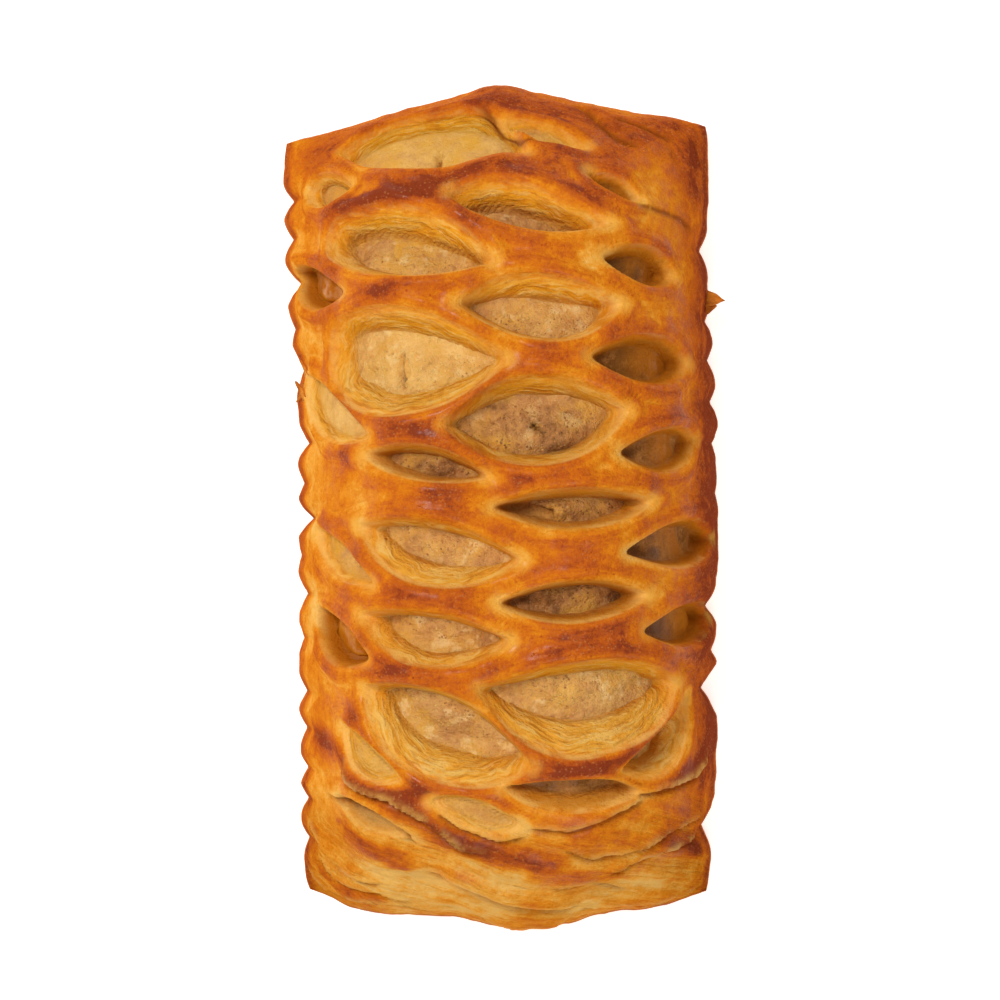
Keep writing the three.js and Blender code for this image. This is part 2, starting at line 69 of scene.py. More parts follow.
# The slits: middle across and along, half length, bow up and down, tilt in degrees, lean of the
# widest place, length rounded off the left tip, how far the upper and lower walls slope in, depth of
# a floor of pastry (0 where the slit is open to the filling), and how dark what lies in it is, partly
# the filling's own colour and partly painted shade where the slit lies in shadow
SLITS = [
    (-10.6, 60.7, 16.0, 9.2, 6.9, -18, 0, 0, 3.8, 0.8, 2.6, 0.3),
    (5.0, 46.0, 12.1, 2.2, 5.3, -10, 1.5, 0, 2.4, 0.8, 0, 0.55),
    (-16.5, 40.5, 16.6, 7.2, 4.4, -17.5, 1, 3, 3.0, 1.0, 0, 0.42),
    (6.0, 30.6, 12.2, 3.3, 6.2, 2, 0, 0, 2.6, 0.8, 0, 0.5),
    (-17.0, 24.2, 17.4, 6.7, 10.0, -10, 2, 4, 3.2, 3.6, 0, 0.2),
    (4.2, 13.5, 13.8, 5.4, 7.1, 5, 0, 0, 2.4, 1.4, 0, 0.7),
    (-13.2, 6.4, 10.2, 2.9, 2.0, -11, 0, 0, 1.2, 0.6, 0, 0.75),
    (10.0, 0.5, 12.7, 2.2, 3.4, 2, 0, 0, 1.2, 0.8, 0, 0.75),
    (23.8, 37.6, 8.0, 3.2, 3.0, -5, 0, 0, 1.2, 0.8, 3.0, 0.95),
    (23.4, 22.7, 10.9, 3.9, 3.6, 1, 0, 0, 1.4, 0.8, 3.2, 1.05),
    (26.4, 9.6, 9.8, 2.8, 3.9, 8, 0, 0, 1.0, 0.8, 2.6, 0.85),
    (31.8, -6.0, 14.2, 4.1, 3.1, 3, 0, 0, 1.0, 0.8, 3.2, 0.85),
    (33.7, -18.3, 12.6, 3.4, 3.3, 2, 0, 0, 1.0, 0.8, 3.2, 0.9),
    (-11.4, -5.2, 13.3, 3.1, 6.2, -10, 0, 0, 1.2, 3.2, 0, 0.5),
    (10.0, -13.5, 11.7, 2.8, 2.9, 1, 0, 0, 0.8, 0.8, 0, 0.8),
    (-12.0, -17.6, 12.1, 2.1, 5.7, -7, 0, 0, 1.0, 1.6, 0, 0.5),
    (12.7, -26.8, 17.1, 4.3, 9.9, -1, 0, 0, 2.0, 4.6, 0, 0.45),
    (-10.1, -32.2, 14.3, 4.8, 8.7, -21, 0, 0, 1.4, 4.0, 0, 0.5),
    (25.2, -34.8, 9.4, 1.2, 6.0, 33, 0, 0, 0.8, 1.4, 0, 0.6),
    (9.9, -42.4, 10.9, 2.4, 2.6, -8, 0, 0, 0.8, 1.6, 3.2, 0.8),
    (-4.9, -45.8, 6.9, 2.4, 2.5, -12, 0, 0, 0.6, 1.2, 1.0, 0.4),
    (-23.4, -48.5, 9.0, 2.6, 2.0, -17, 0, 0, 0.8, 0.8, 1.8, 0.8),
    (-0.6, -64.9, 13.5, 2.6, 1.8, -24, 0, 0, 0.8, 0.8, 3.0, 0.9),
    (-31.0, -19.6, 9.0, 2.7, 4.2, -20, 0, 0, 0.8, 0.8, 3.2, 0.9),
    (-30.6, -7.6, 9.8, 2.6, 2.3, -24, 0, 0, 0.8, 0.8, 1.8, 0.45),
    (-33.4, 16.9, 12.0, 2.8, 4.8, -28, 0, 0, 1.2, 1.6, 1.8, 0.2),
    (-36.3, 37.9, 10.3, 2.9, 4.3, -16, 0, 0, 0.8, 0.8, 3.0, 0.9),
    (-30.6, 55.9, 7.0, 4.0, 4.0, -6, 0, 0, 1.0, 0.8, 2.6, 0.5),
    (18.2, 51.2, 4.9, 1.7, 1.7, -25, 0, 0, 0.6, 0.6, 2.4, 1.0),
    (7.2, 61.1, 6.4, 1.8, 2.1, -20, 0, 0, 0.6, 0.6, 1.8, 0.45),
    (-22.9, -37.5, 7.2, 2.0, 3.2, -31, 0, 0, 0.8, 1.6, 1.2, 0.3),
]
SLIT_FLOOR = 10
SLIT_TONE = 11

# How a slit is cut: how far past it its pull is felt, its rounded tips, the step in to its foot, how
# round a steep and a gentle wall begin, how deep the walls run, and the steps of the baked layers
REACH_PAST_SLIT = 14
FAR_OFF = 1e3
TIP_ROUND = 0.9
CUT_END_ROUND = 3
FLOOR_INSET = 1.4
SHARP_ROUND = 0.7
SOFT_ROUND = 1.2
STEEP_WALL = 0.6
GENTLE_WALL = 3.4
WALL_DEPTH = 4.4
POCKET_DEPTH = 5.8
POCKET_SLOPE = 0.5
LAYER_PITCH = 0.75
LAYER_RISE = 0.12

# Relief of the baked sheet: the ridge along each strand, the pale lip at each slit, the dip at slit
# tips, the swells, lumps and grain of the skin, and the rolled folds of the near end
RIDGE_RISE = 0.6
RIDGE_REACH = 6
LIP_RISE = 0.8
LIP_PLACE = 1.5
LIP_REACH = 1.2
TIP_DIP = 0.35
TIP_REACH = 2.6
FADE_TO_EDGE = 12
SWELL_RISE = 0.25
LUMP_RISE = 0.2
GRAIN_RISE = 0.08
FLOOR_LUMP_RISE = 0.3
NOTCH_FURROW = 0.5
ROPE_EVEN = 0.75
ROPE_SWING = 0.45
FOLDED_LIP_LOSS = 0.8
FOLD_PITCH = 8
FOLD_DEPTH = 0.35
FOLD_FROM = -46
FOLD_SLANT = 0.34
FLOW_RISE = 0.22

# Scalloped seam along both long sides: how far its lobes stand out, and the notches between them,
# each with its place along the length, depth and reach
LEFT_SEAM_OUT = 0.5
RIGHT_SEAM_OUT = 0.15
SEAM_FADE = 14
LEFT_NOTCHES = [
    (47.7, 1.1, 2.8), (41.8, 0.9, 2.8), (34.8, 1.5, 3.4), (27.8, 0.5, 2.8), (21.5, 1.0, 4.0),
    (10.0, 1.2, 3.2), (3.7, 0.6, 2.6), (-1.7, 1.5, 3.0), (-7.6, 0.3, 2.4), (-13.4, 1.0, 3.4),
    (-20.4, 0.6, 2.8), (-28.6, 0.9, 3.0), (-34.4, 0.8, 2.8), (-40.6, 0.8, 2.6), (-45.4, 0.8, 2.6),
    (-51.5, 0.8, 3.0),
]
RIGHT_NOTCHES = [
    (40.0, 0.8, 3.5), (29.1, 0.6, 2.8), (22.9, 0.7, 2.8), (16.3, 0.8, 2.8), (10.0, 0.6, 2.8),
    (2.2, 0.3, 2.6), (-15.4, 1.3, 3.2), (-22.4, 0.5, 2.6), (-28.1, 1.7, 4.5), (-49.6, 1.3, 5.0),
]

# Rounded foot: the height of each loop under the sheet's edge, and how far out it stands
FOOT_LOOPS = [(3.2, 0.3), (2.2, 0.35), (1.2, 0.1), (0.45, -0.4), (0.0, -1.1)]

# Folds pressed into the two ends: points on the sheet, depth of the valley, its width, and the rise
# of the lip beside it (on the left of the way the points run)
CREASE_GAIN = 1.4
# how far past a valley's width the painted shade in it reaches
CREASE_SHADE = 1.5
CREASES = [
    ([(12, 74.5), (14.5, 71), (16.5, 66), (19, 63), (24, 61.5)], 0.7, 1.1, 0.1),
    ([(17.5, 70.5), (23, 69), (32, 65.5)], 0.35, 0.9, 0.1),
    ([(-8.9, 60), (-8.5, 57.5), (-8.7, 54.4)], 0.6, 0.5, 0.3),
    ([(-3, 68.5), (-0.5, 65), (1.5, 61), (4, 58.5), (9, 58.5), (14, 58.5)], 0.5, 0.6, -0.4),
    ([(20.8, 48.2), (26.5, 48.1), (33, 47.2), (40, 45.5)], 0.15, 0.6, 0.15),
    ([(-28.6, -37.2), (-27.1, -42.8), (-18.6, -44.8), (-12.7, -48.1), (-7.8, -52.4), (-1.4, -53.2)],
     0.7, 0.55, 0.7),
    ([(-37.1, -46.2), (-23.5, -46.8), (-16.6, -49.3), (-14.3, -53.3)], 0.4, 0.5, 0.5),
    ([(-44.8, -51.4), (-37, -57.9), (-26.1, -62.5), (-20, -62.5)], 0.7, 0.55, 0.5),
    ([(-41.9, -60), (-31.9, -65.6), (-21.4, -66.3), (-14.9, -68.7)], 0.7, 0.5, 0.5),
    ([(-49.6, -65.8), (-38.6, -72), (-25.1, -69.6), (-16, -70.1), (-11.1, -74.9)], 0.9, 0.6, 0.5),
    ([(-11.6, -59.7), (-6.1, -60.6), (-0.5, -62.6), (5.6, -67.6), (10.9, -71)], 1.0, 0.6, 1.0),
    ([(-8.1, -68.2), (-4.3, -72.7), (1.4, -76.0), (7.3, -75.9), (11, -71.9)], 0.7, 0.6, 0.5),
    ([(11, -71.9), (21, -71.7), (45.3, -73.5)], 1.0, 0.6, 0.6),
    ([(6, -60.4), (12.5, -61), (19.5, -66.4)], 0.6, 0.5, 0.5),
    ([(7.7, -51.3), (12.3, -55), (17.3, -55.2), (26.7, -52.1), (42.5, -51.4)], 0.8, 0.5, 0.6),
    ([(15.4, -59), (17.4, -58.8), (25.4, -55.7), (43, -56)], 0.8, 0.5, 0.6),
    ([(19.6, -44.5), (24.7, -43.9), (34.1, -43.3), (43.3, -39.9)], 0.7, 0.55, 0.6),
    ([(-11.3, -46.1), (-7.7, -48.5), (-1.4, -49.9), (3.1, -49.1)], 0.5, 0.45, 0.5),
    ([(2, -47.4), (8.5, -48.4), (15.6, -47.2), (23, -44.8)], 0.5, 0.45, 0.4),
]

# Fineness: cells of the relaxed grid, the map that says how close they lie on floors, creases, rims
# and long edges, the rounds of relaxing, the flat underside, and how brown the foot is
COLUMNS = 256
ROWS = 336
MAP_PITCH = 0.3
CLOSEST = 3.6
FLOOR_CLOSENESS = 0.4
FLOOR_FROM = -1.2
CREASE_CLOSENESS = 1.6
RIM_CLOSENESS = 0.7
RIM_BAND = 0.9
EDGE_CLOSENESS = 0.8
EDGE_BAND = 8
LEVELS = (8, 4, 2, 1)
ROUNDS = (120, 90, 60, 40)
RELAX_STEP = 0.8
BOTTOM_PITCH = 2.6
BOTTOM_INSET = 3.0
BOTTOM_CLEAR = 1.6
FOOT_TOAST = 0.62
FOOT_RIM = 8


def smooth_step(start, stop, value):
    """0 before start and 1 past stop, smooth between. Start may be the larger."""
    k = np.clip((value - start) / (stop - start), 0, 1)
    return k * k * (3 - 2 * k)


def smooth_max(a, b, rounding):
    """The larger of two values, rounded over where they meet."""
    h = np.clip(0.5 + 0.5 * (a - b) / rounding, 0, 1)
    return b + (a - b) * h + rounding * h * (1 - h)


def through_stations(values, place):
    """Smooth curve through evenly spaced stations; place runs from 0 to the last station."""
    v = np.array(values, float)
    last = len(v) - 1
    u = np.clip(place, 0, last)
    i = np.clip(np.floor(u).astype(int), 0, last - 1)
    f = u - i
    before = v[np.maximum(i - 1, 0)]
    here = v[i]
    after = v[i + 1]
    later = v[np.minimum(i + 2, last)]
    bow = 2 * before - 5 * here + 4 * after - later
    return here + 0.5 * f * (after - before + f * (bow + f * (3 * (here - after) + later - before)))


def walk_profile(reach, high, power):
    """Rounded cross-section: distance walked along it, reach and height, both from 0 to 1."""
    angle = np.linspace(0, math.pi / 2, 601)
    out = np.sin(angle) ** (2 / power)
    up = np.maximum(1 - out ** power, 0) ** SHOULDER_FULLNESS
    steps = np.hypot(np.diff(out) * reach, np.diff(up) * high)
    return np.concatenate([[0], np.cumsum(steps)]), out, up


SIDE_PROFILE = walk_profile(HALF_WIDTH, HEIGHT - FOOT_HEIGHT, SIDE_POWER)
LENGTH_PROFILE = walk_profile(HALF_LENGTH, HEIGHT - FOOT_HEIGHT, END_POWER)
HALF_ACROSS = SIDE_PROFILE[0][-1]
HALF_ALONG = LENGTH_PROFILE[0][-1]


def profile_at(profile, distance):
    """Reach and height at a distance walked from the top, signed to the side."""
    walked, out, up = profile
    d = np.abs(distance)
    return np.sign(distance) * np.interp(d, walked, out), np.interp(d, walked, up)


def roll_surface(s, t, sheet=0.0, end_wall=0.0, floor=FOOT_HEIGHT):
    """Plain surface of the roll for places on the sheet; the three walls shrink it to the hollow."""
    side_out, side_up = profile_at(SIDE_PROFILE, s)
    end_out, end_up = profile_at(LENGTH_PROFILE, t)
    station = (side_out + 1) * 4
    far = through_stations(FAR_END, station)
    near = through_stations(NEAR_END, station)
    reach = np.where(t > 0, far, near) - end_wall
    corner = CORNER_PULL * np.abs(side_out) ** 8 * np.abs(end_out) ** 14
    y = end_out * reach - np.sign(t) * corner
    half = HALF_WIDTH + HALF_WIDTH_GROWTH * (y / 60) ** 3 - sheet
    middle = MIDDLE_LINE_X + MIDDLE_LINE_BEND * smooth_step(BEND_FROM, BEND_TO, y)
    x = middle + side_out * half - np.sign(s) * corner
    z = floor + (HEIGHT - sheet - floor) * side_up * end_up
    return np.stack([x - MIDDLE_X, y - MIDDLE_Y, z], axis=-1)


def roll_normal(s, t):
    """Direction out of the plain roll."""
    step = 0.4
    s = np.clip(s, step - HALF_ACROSS, HALF_ACROSS - step)
    t = np.clip(t, step - HALF_ALONG, HALF_ALONG - step)
    across = roll_surface(s + step, t) - roll_surface(s - step, t)
    along = roll_surface(s, t + step) - roll_surface(s, t - step)
    normal = np.cross(across, along)
    return normal / np.linalg.norm(normal, axis=-1, keepdims=True)


def bowed_edges(p, q, half, up, down):
    """Distance outside a slit outline of two bowed edges, in the slit's own directions."""
    up_radius = (half * half + up * up) / (2 * up)
    down_radius = (half * half + down * down) / (2 * down)
    up_edge = np.hypot(p, q + up_radius - up) - up_radius
    down_edge = np.hypot(p, q - down_radius + down) - down_radius
    return smooth_max(up_edge, down_edge, TIP_ROUND)


def turned(s, t, degrees):
    """Places on the sheet as they are seen along and up a direction turned by so many degrees."""
    angle = math.radians(degrees)
    return s * math.cos(angle) + t * math.sin(angle), t * math.cos(angle) - s * math.sin(angle)


def slit_distances(slit, s, t):
    """Distance outside a slit's rim and its foot, the way along it and the way up it."""
    across, along, half, up, down, tilt, lean, cut, wall_up, wall_down = slit[:10]
    straight, q = turned(s - across, t - along, tilt)
    p = straight + lean * np.clip(1 - (straight / half) ** 2, 0, 1)
    rim = bowed_edges(p, q, half, up, down)
    high = up - wall_up
    low = wall_down - down
    middle = min(max(0, low + 1), high - 1)
    foot = bowed_edges(p, q - middle, half - FLOOR_INSET, high - middle, middle - low)
    if cut:
        rim = smooth_max(rim, cut - half - p, CUT_END_ROUND)
        foot = smooth_max(foot, cut + FLOOR_INSET - half - p, CUT_END_ROUND)
    return rim, foot, p / half, (q - middle) / np.where(q > middle, up - middle, down + middle)


def lattice(s, t):
    """For places on the sheet: distance outside the nearest rim and foot, the way along the slit and
    up it, and which slit it is."""
    nearest = [np.full(s.shape, value) for value in (FAR_OFF, FAR_OFF, 0.0, 0.0)]
    which = np.zeros(s.shape, int)
    for number, slit in enumerate(SLITS):
        reach = slit[2] + REACH_PAST_SLIT
        near = (np.abs(s - slit[0]) < reach) & (np.abs(t - slit[1]) < reach)
        found = slit_distances(slit, s[near], t[near])
        closer = found[0] < nearest[0][near]
        place = np.flatnonzero(near.ravel())[closer.ravel()]
        for kept, value in zip(nearest, found):
            kept.ravel()[place] = value[closer]
        which.ravel()[place] = number
    return (*nearest, which)


def of_slit(column, which):
    """One column of the slits' table, for places whose slit is known by its number."""
    return np.array([slit[column] for slit in SLITS])[which]


def slit_tips():
    """Both ends of every slit, on the sheet."""
    tips = []
    for across, along, half, _, _, tilt, *_ in SLITS:
        angle = math.radians(tilt)
        reach = np.array([math.cos(angle), math.sin(angle)]) * half
        tips += [np.array([across, along]) + reach, np.array([across, along]) - reach]
    return np.array(tips)


def nearest_tip(s, t):
    """Distance to the nearest slit tip."""
    distance = np.full(s.shape, FAR_OFF)
    for tip in slit_tips():
        distance = np.minimum(distance, np.hypot(s - tip[0], t - tip[1]))
    return distance


def wall_depth(rim, foot, which, wander=0.0):
    """How far the surface lies under the strand tops, and how far down the wall a place is. A steep
    wall has a sharp edge; a gentle one is rounded over and shows the edges of the baked layers."""
    gentle = smooth_step(STEEP_WALL, GENTLE_WALL, foot - rim)
    rounding = SHARP_ROUND + (SOFT_ROUND - SHARP_ROUND) * gentle
    k = np.clip(1 - rim / rounding, 0, 1)
    shoulder = rounding * (1 - np.sqrt(np.maximum(1 - k * k, 0)))
    inside = np.clip(-rim, 0, None)
    wall = inside / (inside + np.clip(foot, 1e-3, None))
    beat = inside / LAYER_PITCH + wander
    step = LAYER_RISE * (np.abs(np.cos(math.pi * beat)) - 0.6) * gentle * smooth_step(0, 0.6, inside)
    floor = of_slit(SLIT_FLOOR, which)
    bottom = np.where(floor > 0, floor, WALL_DEPTH)
    slope = rounding + (bottom - rounding) * wall - step * smooth_step(0, 0.4, foot)
    pocket = np.where(floor > 0, 0, POCKET_DEPTH - WALL_DEPTH) * smooth_step(0, POCKET_SLOPE, -foot)
    return np.where(rim > 0, shoulder, slope + pocket), np.where(rim > 0, 0, wall)


def along_path(points, s, t):
    """Distance from a bent line on the sheet, signed distance to its left, and the way along it."""
    path = np.array(points, float)
    best = np.full(s.shape, FAR_OFF)
    side = np.zeros(s.shape)
    place = np.zeros(s.shape)
    for number in range(len(path) - 1):
        a = path[number]
        run = path[number + 1] - a
        length = math.hypot(*run)
        k = np.clip(((s - a[0]) * run[0] + (t - a[1]) * run[1]) / length ** 2, 0, 1)
        ds = s - a[0] - k * run[0]
        dt = t - a[1] - k * run[1]
        distance = np.hypot(ds, dt)
        closer = distance < best
        best = np.where(closer, distance, best)
        side = np.where(closer, (run[0] * dt - run[1] * ds) / length, side)
        place = np.where(closer, (number + k) / (len(path) - 1), place)
    return best, side, place


def crease_relief(s, t):
    """Height that the pressed folds add, the painted shade in a fold's valley and the painted light on its
    lip.
    """
    height = np.zeros(s.shape)
    shade = np.zeros(s.shape)
    pale = np.zeros(s.shape)
    for points, depth, width, lip in CREASES:
        best, side, place = along_path(points, s, t)
        ends = smooth_step(0, 0.15, place) * smooth_step(1, 0.8, place)
        near = np.exp(-(best / (4 * width)) ** 2) * ends
        valley = np.exp(-(best / width) ** 2) * ends
        beside = side / width
        height += lip * smooth_step(-0.5, 0.7, beside) * near
        height -= depth * valley * smooth_step(1.2, -0.4, beside)
        # painted shade in the valley of the fold
        dark = np.exp(-(best / (CREASE_SHADE * width)) ** 2) * ends * smooth_step(0.8, 0.0, beside)
        shade = np.maximum(shade, dark)
        # painted light on the raised lip beside the valley
        lit = near * smooth_step(0.2, 0.8, beside) * smooth_step(3.6, 1.4, beside)
        pale = np.maximum(pale, lit * smooth_step(0.1, 0.5, lip))
    return height, shade, pale


class SoftNoise:
    """Smooth random field from a seeded lattice of numbers, -1 to 1."""

    SIDE = 64

    def __init__(self, seed, pitch):
        self.table = np.random.default_rng(seed).uniform(-1, 1, (self.SIDE,) * 3)
        self.pitch = pitch

    def __call__(self, points):
        u = np.asarray(points, float) / self.pitch + 100
        low = np.floor(u).astype(int)
        f = u - low
        f = f * f * (3 - 2 * f)
        total = np.zeros(u.shape[:-1])
        for corner in range(8):
            bit = [(corner >> axis) & 1 for axis in range(3)]
            index = tuple((low[..., axis] + bit[axis]) % self.SIDE for axis in range(3))
            weight = np.ones(total.shape)
            for axis in range(3):
                weight = weight * (f[..., axis] if bit[axis] else 1 - f[..., axis])
            total += weight * self.table[index]
        return total


swell_noise = SoftNoise(11, 7.0)
lump_noise = SoftNoise(12, 2.4)
grain_noise = SoftNoise(13, 0.9)
layer_noise = SoftNoise(14, 4.0)
flow_noise = SoftNoise(15, 1.3)


def notch_cut(s, y):
    """How deep the seam's notches cut in at each place along the length."""
    cut = np.zeros(s.shape)
    for left, notches in ((True, LEFT_NOTCHES), (False, RIGHT_NOTCHES)):
        for place, depth, reach in notches:
            near = depth * np.clip(1 - np.abs(y - place) / reach, 0, 1) ** 1.5
            cut = np.maximum(cut, np.where((s < 0) == left, near, 0))
    return cut


def scallop(s, y):
    """How far the seam's lobes and notches move the long edges out."""
    out = np.where(s < 0, LEFT_SEAM_OUT, RIGHT_SEAM_OUT)
    side = smooth_step(HALF_ACROSS - SEAM_FADE, HALF_ACROSS, np.abs(s))
    clear = smooth_step(HALF_LENGTH, HALF_LENGTH - 6, np.abs(y))
    return (out * clear - notch_cut(s, y)) * side


def sheet_relief(s, t, rim, creased):
    """Height of the baked sheet over the plain roll: strands crown between the slits, dip where
    slit tips meet, and both ends lie in folds."""
    tip = nearest_tip(s, t)
    open_side = smooth_step(HALF_ACROSS, HALF_ACROSS - FADE_TO_EDGE, np.abs(s))
    clear_end = smooth_step(HALF_ALONG, HALF_ALONG - FADE_TO_EDGE, np.abs(t))
    ridge = RIDGE_RISE * (1 - np.exp(-(tip / RIDGE_REACH) ** 2))
    rope = ROPE_EVEN + ROPE_SWING * swell_noise(np.stack([s, t, 0 * s], axis=-1) * 1.3)
    lip = LIP_RISE * rope * np.exp(-((np.clip(rim, 0, None) - LIP_PLACE) / LIP_REACH) ** 2)
    lip *= 1 - FOLDED_LIP_LOSS * smooth_step(FOLD_FROM + 6, FOLD_FROM, t)
    dip = TIP_DIP * np.exp(-(tip / TIP_REACH) ** 2)
    folded = smooth_step(FOLD_FROM, FOLD_FROM - 8, t)
    slanted = t + FOLD_SLANT * s
    fold = FOLD_DEPTH * np.sin(2 * math.pi * slanted / FOLD_PITCH) * folded
    far_folds = smooth_step(56, 62, t) * smooth_step(2, 12, s)
    flowing = np.stack([slanted * 1.5 + 0.02 * s ** 2, 0.16 * s, 0 * s], axis=-1)
    flow = FLOW_RISE * flow_noise(flowing) * np.maximum(folded, far_folds) * smooth_step(0, 1.5, rim)
    flow *= open_side * clear_end
    return (ridge + lip - dip + fold) * open_side * clear_end + CREASE_GAIN * creased + flow


def fine_relief(plain):
    """Swells, lumps and grain of the baked skin."""
    swell = SWELL_RISE * swell_noise(plain)
    return swell + LUMP_RISE * lump_noise(plain) + GRAIN_RISE * grain_noise(plain)


def sheet_points(s, t):
    """Points of the baked outer surface for places on the sheet, and what the finish needs there."""
    rim, foot, along_slit, up_slit, which = lattice(s, t)
    plain = roll_surface(s, t)
    normal = roll_normal(s, t)
    depth, wall = wall_depth(rim, foot, which, layer_noise(plain))
    creased, fold_shade, lip_light = crease_relief(s, t)
    y = plain[..., 1] + MIDDLE_Y
    seam = smooth_step(HALF_ACROSS - 20, HALF_ACROSS - 6, np.abs(s))
    height = sheet_relief(s, t, rim, creased) + fine_relief(plain) * smooth_step(-0.5, 1.5, rim) - depth
    height += FLOOR_LUMP_RISE * lump_noise(plain * 1.2) * smooth_step(0.2, -1, foot)
    height -= NOTCH_FURROW * notch_cut(s, y) * seam * smooth_step(0, 2, rim)
    points = plain + normal * height[..., None]
    points[..., 0] += np.sign(s) * scallop(s, y)
    fields = {
        "rim": rim, "wall": wall, "along_slit": along_slit, "up_slit": up_slit,
        "tip": nearest_tip(s, t), "across": s, "along": t,
        # painted shade in the folds and painted light on their lips
        "crease": fold_shade, "fold_lip": lip_light,
        "floor": smooth_step(0.5, -0.4, foot), "tone": of_slit(SLIT_TONE, which),
    }
    return points, fields


def map_places():
    """Even places over the whole sheet, across and along, for maps that are read between them."""
    s = np.arange(-HALF_ACROSS, HALF_ACROSS + MAP_PITCH, MAP_PITCH)
    t = np.arange(-HALF_ALONG, HALF_ALONG + MAP_PITCH, MAP_PITCH)
    return np.meshgrid(s, t)


def spread_map():
    """How closely the grid's cells should lie, over the whole sheet."""
    ss, tt = map_places()
    rim, foot, _, _, which = lattice(ss, tt)
    depth, _ = wall_depth(rim, foot, which)
    slope_t, slope_s = np.gradient(depth, MAP_PITCH)
    closeness = np.clip(np.sqrt(1 + slope_s ** 2 + slope_t ** 2), 1, CLOSEST)
    closeness = np.where(foot < FLOOR_FROM, FLOOR_CLOSENESS, closeness)
    at_rim = np.exp(-(rim / RIM_BAND) ** 2)
    closeness *= 1 + CREASE_CLOSENESS * crease_relief(ss, tt)[1] + RIM_CLOSENESS * at_rim
    closeness *= np.where(np.abs(ss) > HALF_ACROSS - EDGE_BAND, EDGE_CLOSENESS, 1)
    for _ in range(3):
        for axis in (0, 1):
            closeness = (np.roll(closeness, 1, axis) + 2 * closeness + np.roll(closeness, -1, axis)) / 4
    return closeness


def relaxed_places(columns, rows, closeness):
    """Grid places on the sheet, drawn together where the map asks for it, coarse cells first."""
    places = None
    for level, count in zip(LEVELS, ROUNDS):
        wide = columns // level + 1
        long = rows // level + 1
        if places is None:
            even_s = np.linspace(-1, 1, wide) * HALF_ACROSS
            even_t = np.linspace(-1, 1, long) * HALF_ALONG
            places = np.stack(np.meshgrid(even_s, even_t), axis=-1)
        else:
            finer = np.zeros((long, wide, 2))
            finer[::2, ::2] = places
            finer[::2, 1::2] = (places[:, :-1] + places[:, 1:]) / 2
            finer[1::2] = (finer[:-1:2] + finer[2::2]) / 2
            places = finer

        def close_at(p):
            u = (p[..., 0] + HALF_ACROSS) / MAP_PITCH
            v = (p[..., 1] + HALF_ALONG) / MAP_PITCH
            return closeness[np.rint(v).astype(int), np.rint(u).astype(int)]

        for _ in range(count):
            drawn = []
            for rows_first in (places.swapaxes(0, 1), places):
                between = close_at((rows_first[:-1] + rows_first[1:]) / 2)[..., None]
                pull = np.zeros_like(rows_first)
                weight = np.zeros(rows_first.shape[:2] + (1,))
                for one, other in ((slice(1, None), slice(-1)), (slice(-1), slice(1, None))):
                    pull[one] += between * rows_first[other]
                    weight[one] += between
                drawn.append((pull, weight))
            pull, weight = [side.swapaxes(0, 1) for side in drawn[0]]
            up_pull, up_weight = drawn[1]
            middle = (pull + up_pull) / (weight + up_weight)
            moved = places.copy()
            moved[1:-1, 1:-1] = middle[1:-1, 1:-1]
            moved[[0, -1], 1:-1, 0] = (pull / weight)[[0, -1], 1:-1, 0]
            moved[1:-1, [0, -1], 1] = (up_pull / up_weight)[1:-1, [0, -1], 1]
            places = places + RELAX_STEP * (moved - places)
    return places[..., 0], places[..., 1]


def grid_faces(long, wide):
    """Four-sided faces of a grid of vertices, row by row."""
    j, i = np.meshgrid(np.arange(long - 1), np.arange(wide - 1), indexing="ij")
    corner = (j * wide + i).ravel()
    return np.stack([corner, corner + 1, corner + wide + 1, corner + wide], axis=1).tolist()


def edge_walk(wide, long):
    """Numbers of the grid's outer vertices, anticlockwise from above."""
    return (
        [i for i in range(wide)]
        + [j * wide + wide - 1 for j in range(1, long)]
        + [(long - 1) * wide + i for i in range(wide - 2, -1, -1)]
        + [j * wide for j in range(long - 2, 0, -1)]
    )


def closed_dome(points, s, t, foot_loops):
    """Vertices and faces of a closed body: the grid, loops below its edge and the underside."""
    long, wide = points.shape[:2]
    vertices = [points.reshape(-1, 3)]
    faces = grid_faces(long, wide)
    loop = edge_walk(wide, long)
    edge = vertices[0][loop]
    side, _ = profile_at(SIDE_PROFILE, s.ravel()[loop])
    end, _ = profile_at(LENGTH_PROFILE, t.ravel()[loop])
    away = np.stack([np.sign(side) * side ** 10, np.sign(end) * end ** 10], axis=1)
    away /= np.maximum(np.linalg.norm(away, axis=1, keepdims=True), 1e-9)
    count = wide * long
    for height, out in foot_loops:
        ring = edge.copy()
        ring[:, :2] += away * out
        ring[:, 2] = height
        vertices.append(ring)
        below = list(range(count, count + len(ring)))
        count += len(ring)
        for k in range(len(ring)):
            after = (k + 1) % len(ring)
            faces.append([loop[k], below[k], below[after], loop[after]])
        loop = below
    outline = np.concatenate(vertices)[loop]
    x0, y0 = outline[:, :2].min(0)
    x1, y1 = outline[:, :2].max(0)
    inner_x = np.arange(x0 + BOTTOM_INSET, x1 - BOTTOM_INSET, BOTTOM_PITCH)
    inner_y = np.arange(y0 + BOTTOM_INSET, y1 - BOTTOM_INSET, BOTTOM_PITCH)
    middle = np.stack(np.meshgrid(inner_x, inner_y), axis=-1).reshape(-1, 2)
    gap = np.array([np.hypot(*(outline[:, :2] - p).T).min() for p in middle])
    scaled = [Vector(p) for p in np.concatenate([outline[:, :2], middle[gap > BOTTOM_CLEAR]]).tolist()]
    made = delaunay_2d_cdt(scaled, [], [list(range(len(outline)))], 1, 1e-6)
    new_points = np.array([[v.x, v.y, outline[0, 2]] for v in made[0]])
    numbers = []
    extra = []
    for number, originals in enumerate(made[3]):
        known = [o for o in originals if o < len(outline)]
        if known:
            numbers.append(loop[known[0]])
        else:
            numbers.append(count + len(extra))
            extra.append(new_points[number])
    if extra:
        vertices.append(np.array(extra))
    for face in made[2]:
        faces.append([numbers[k] for k in reversed(face)])
    return np.concatenate(vertices), faces


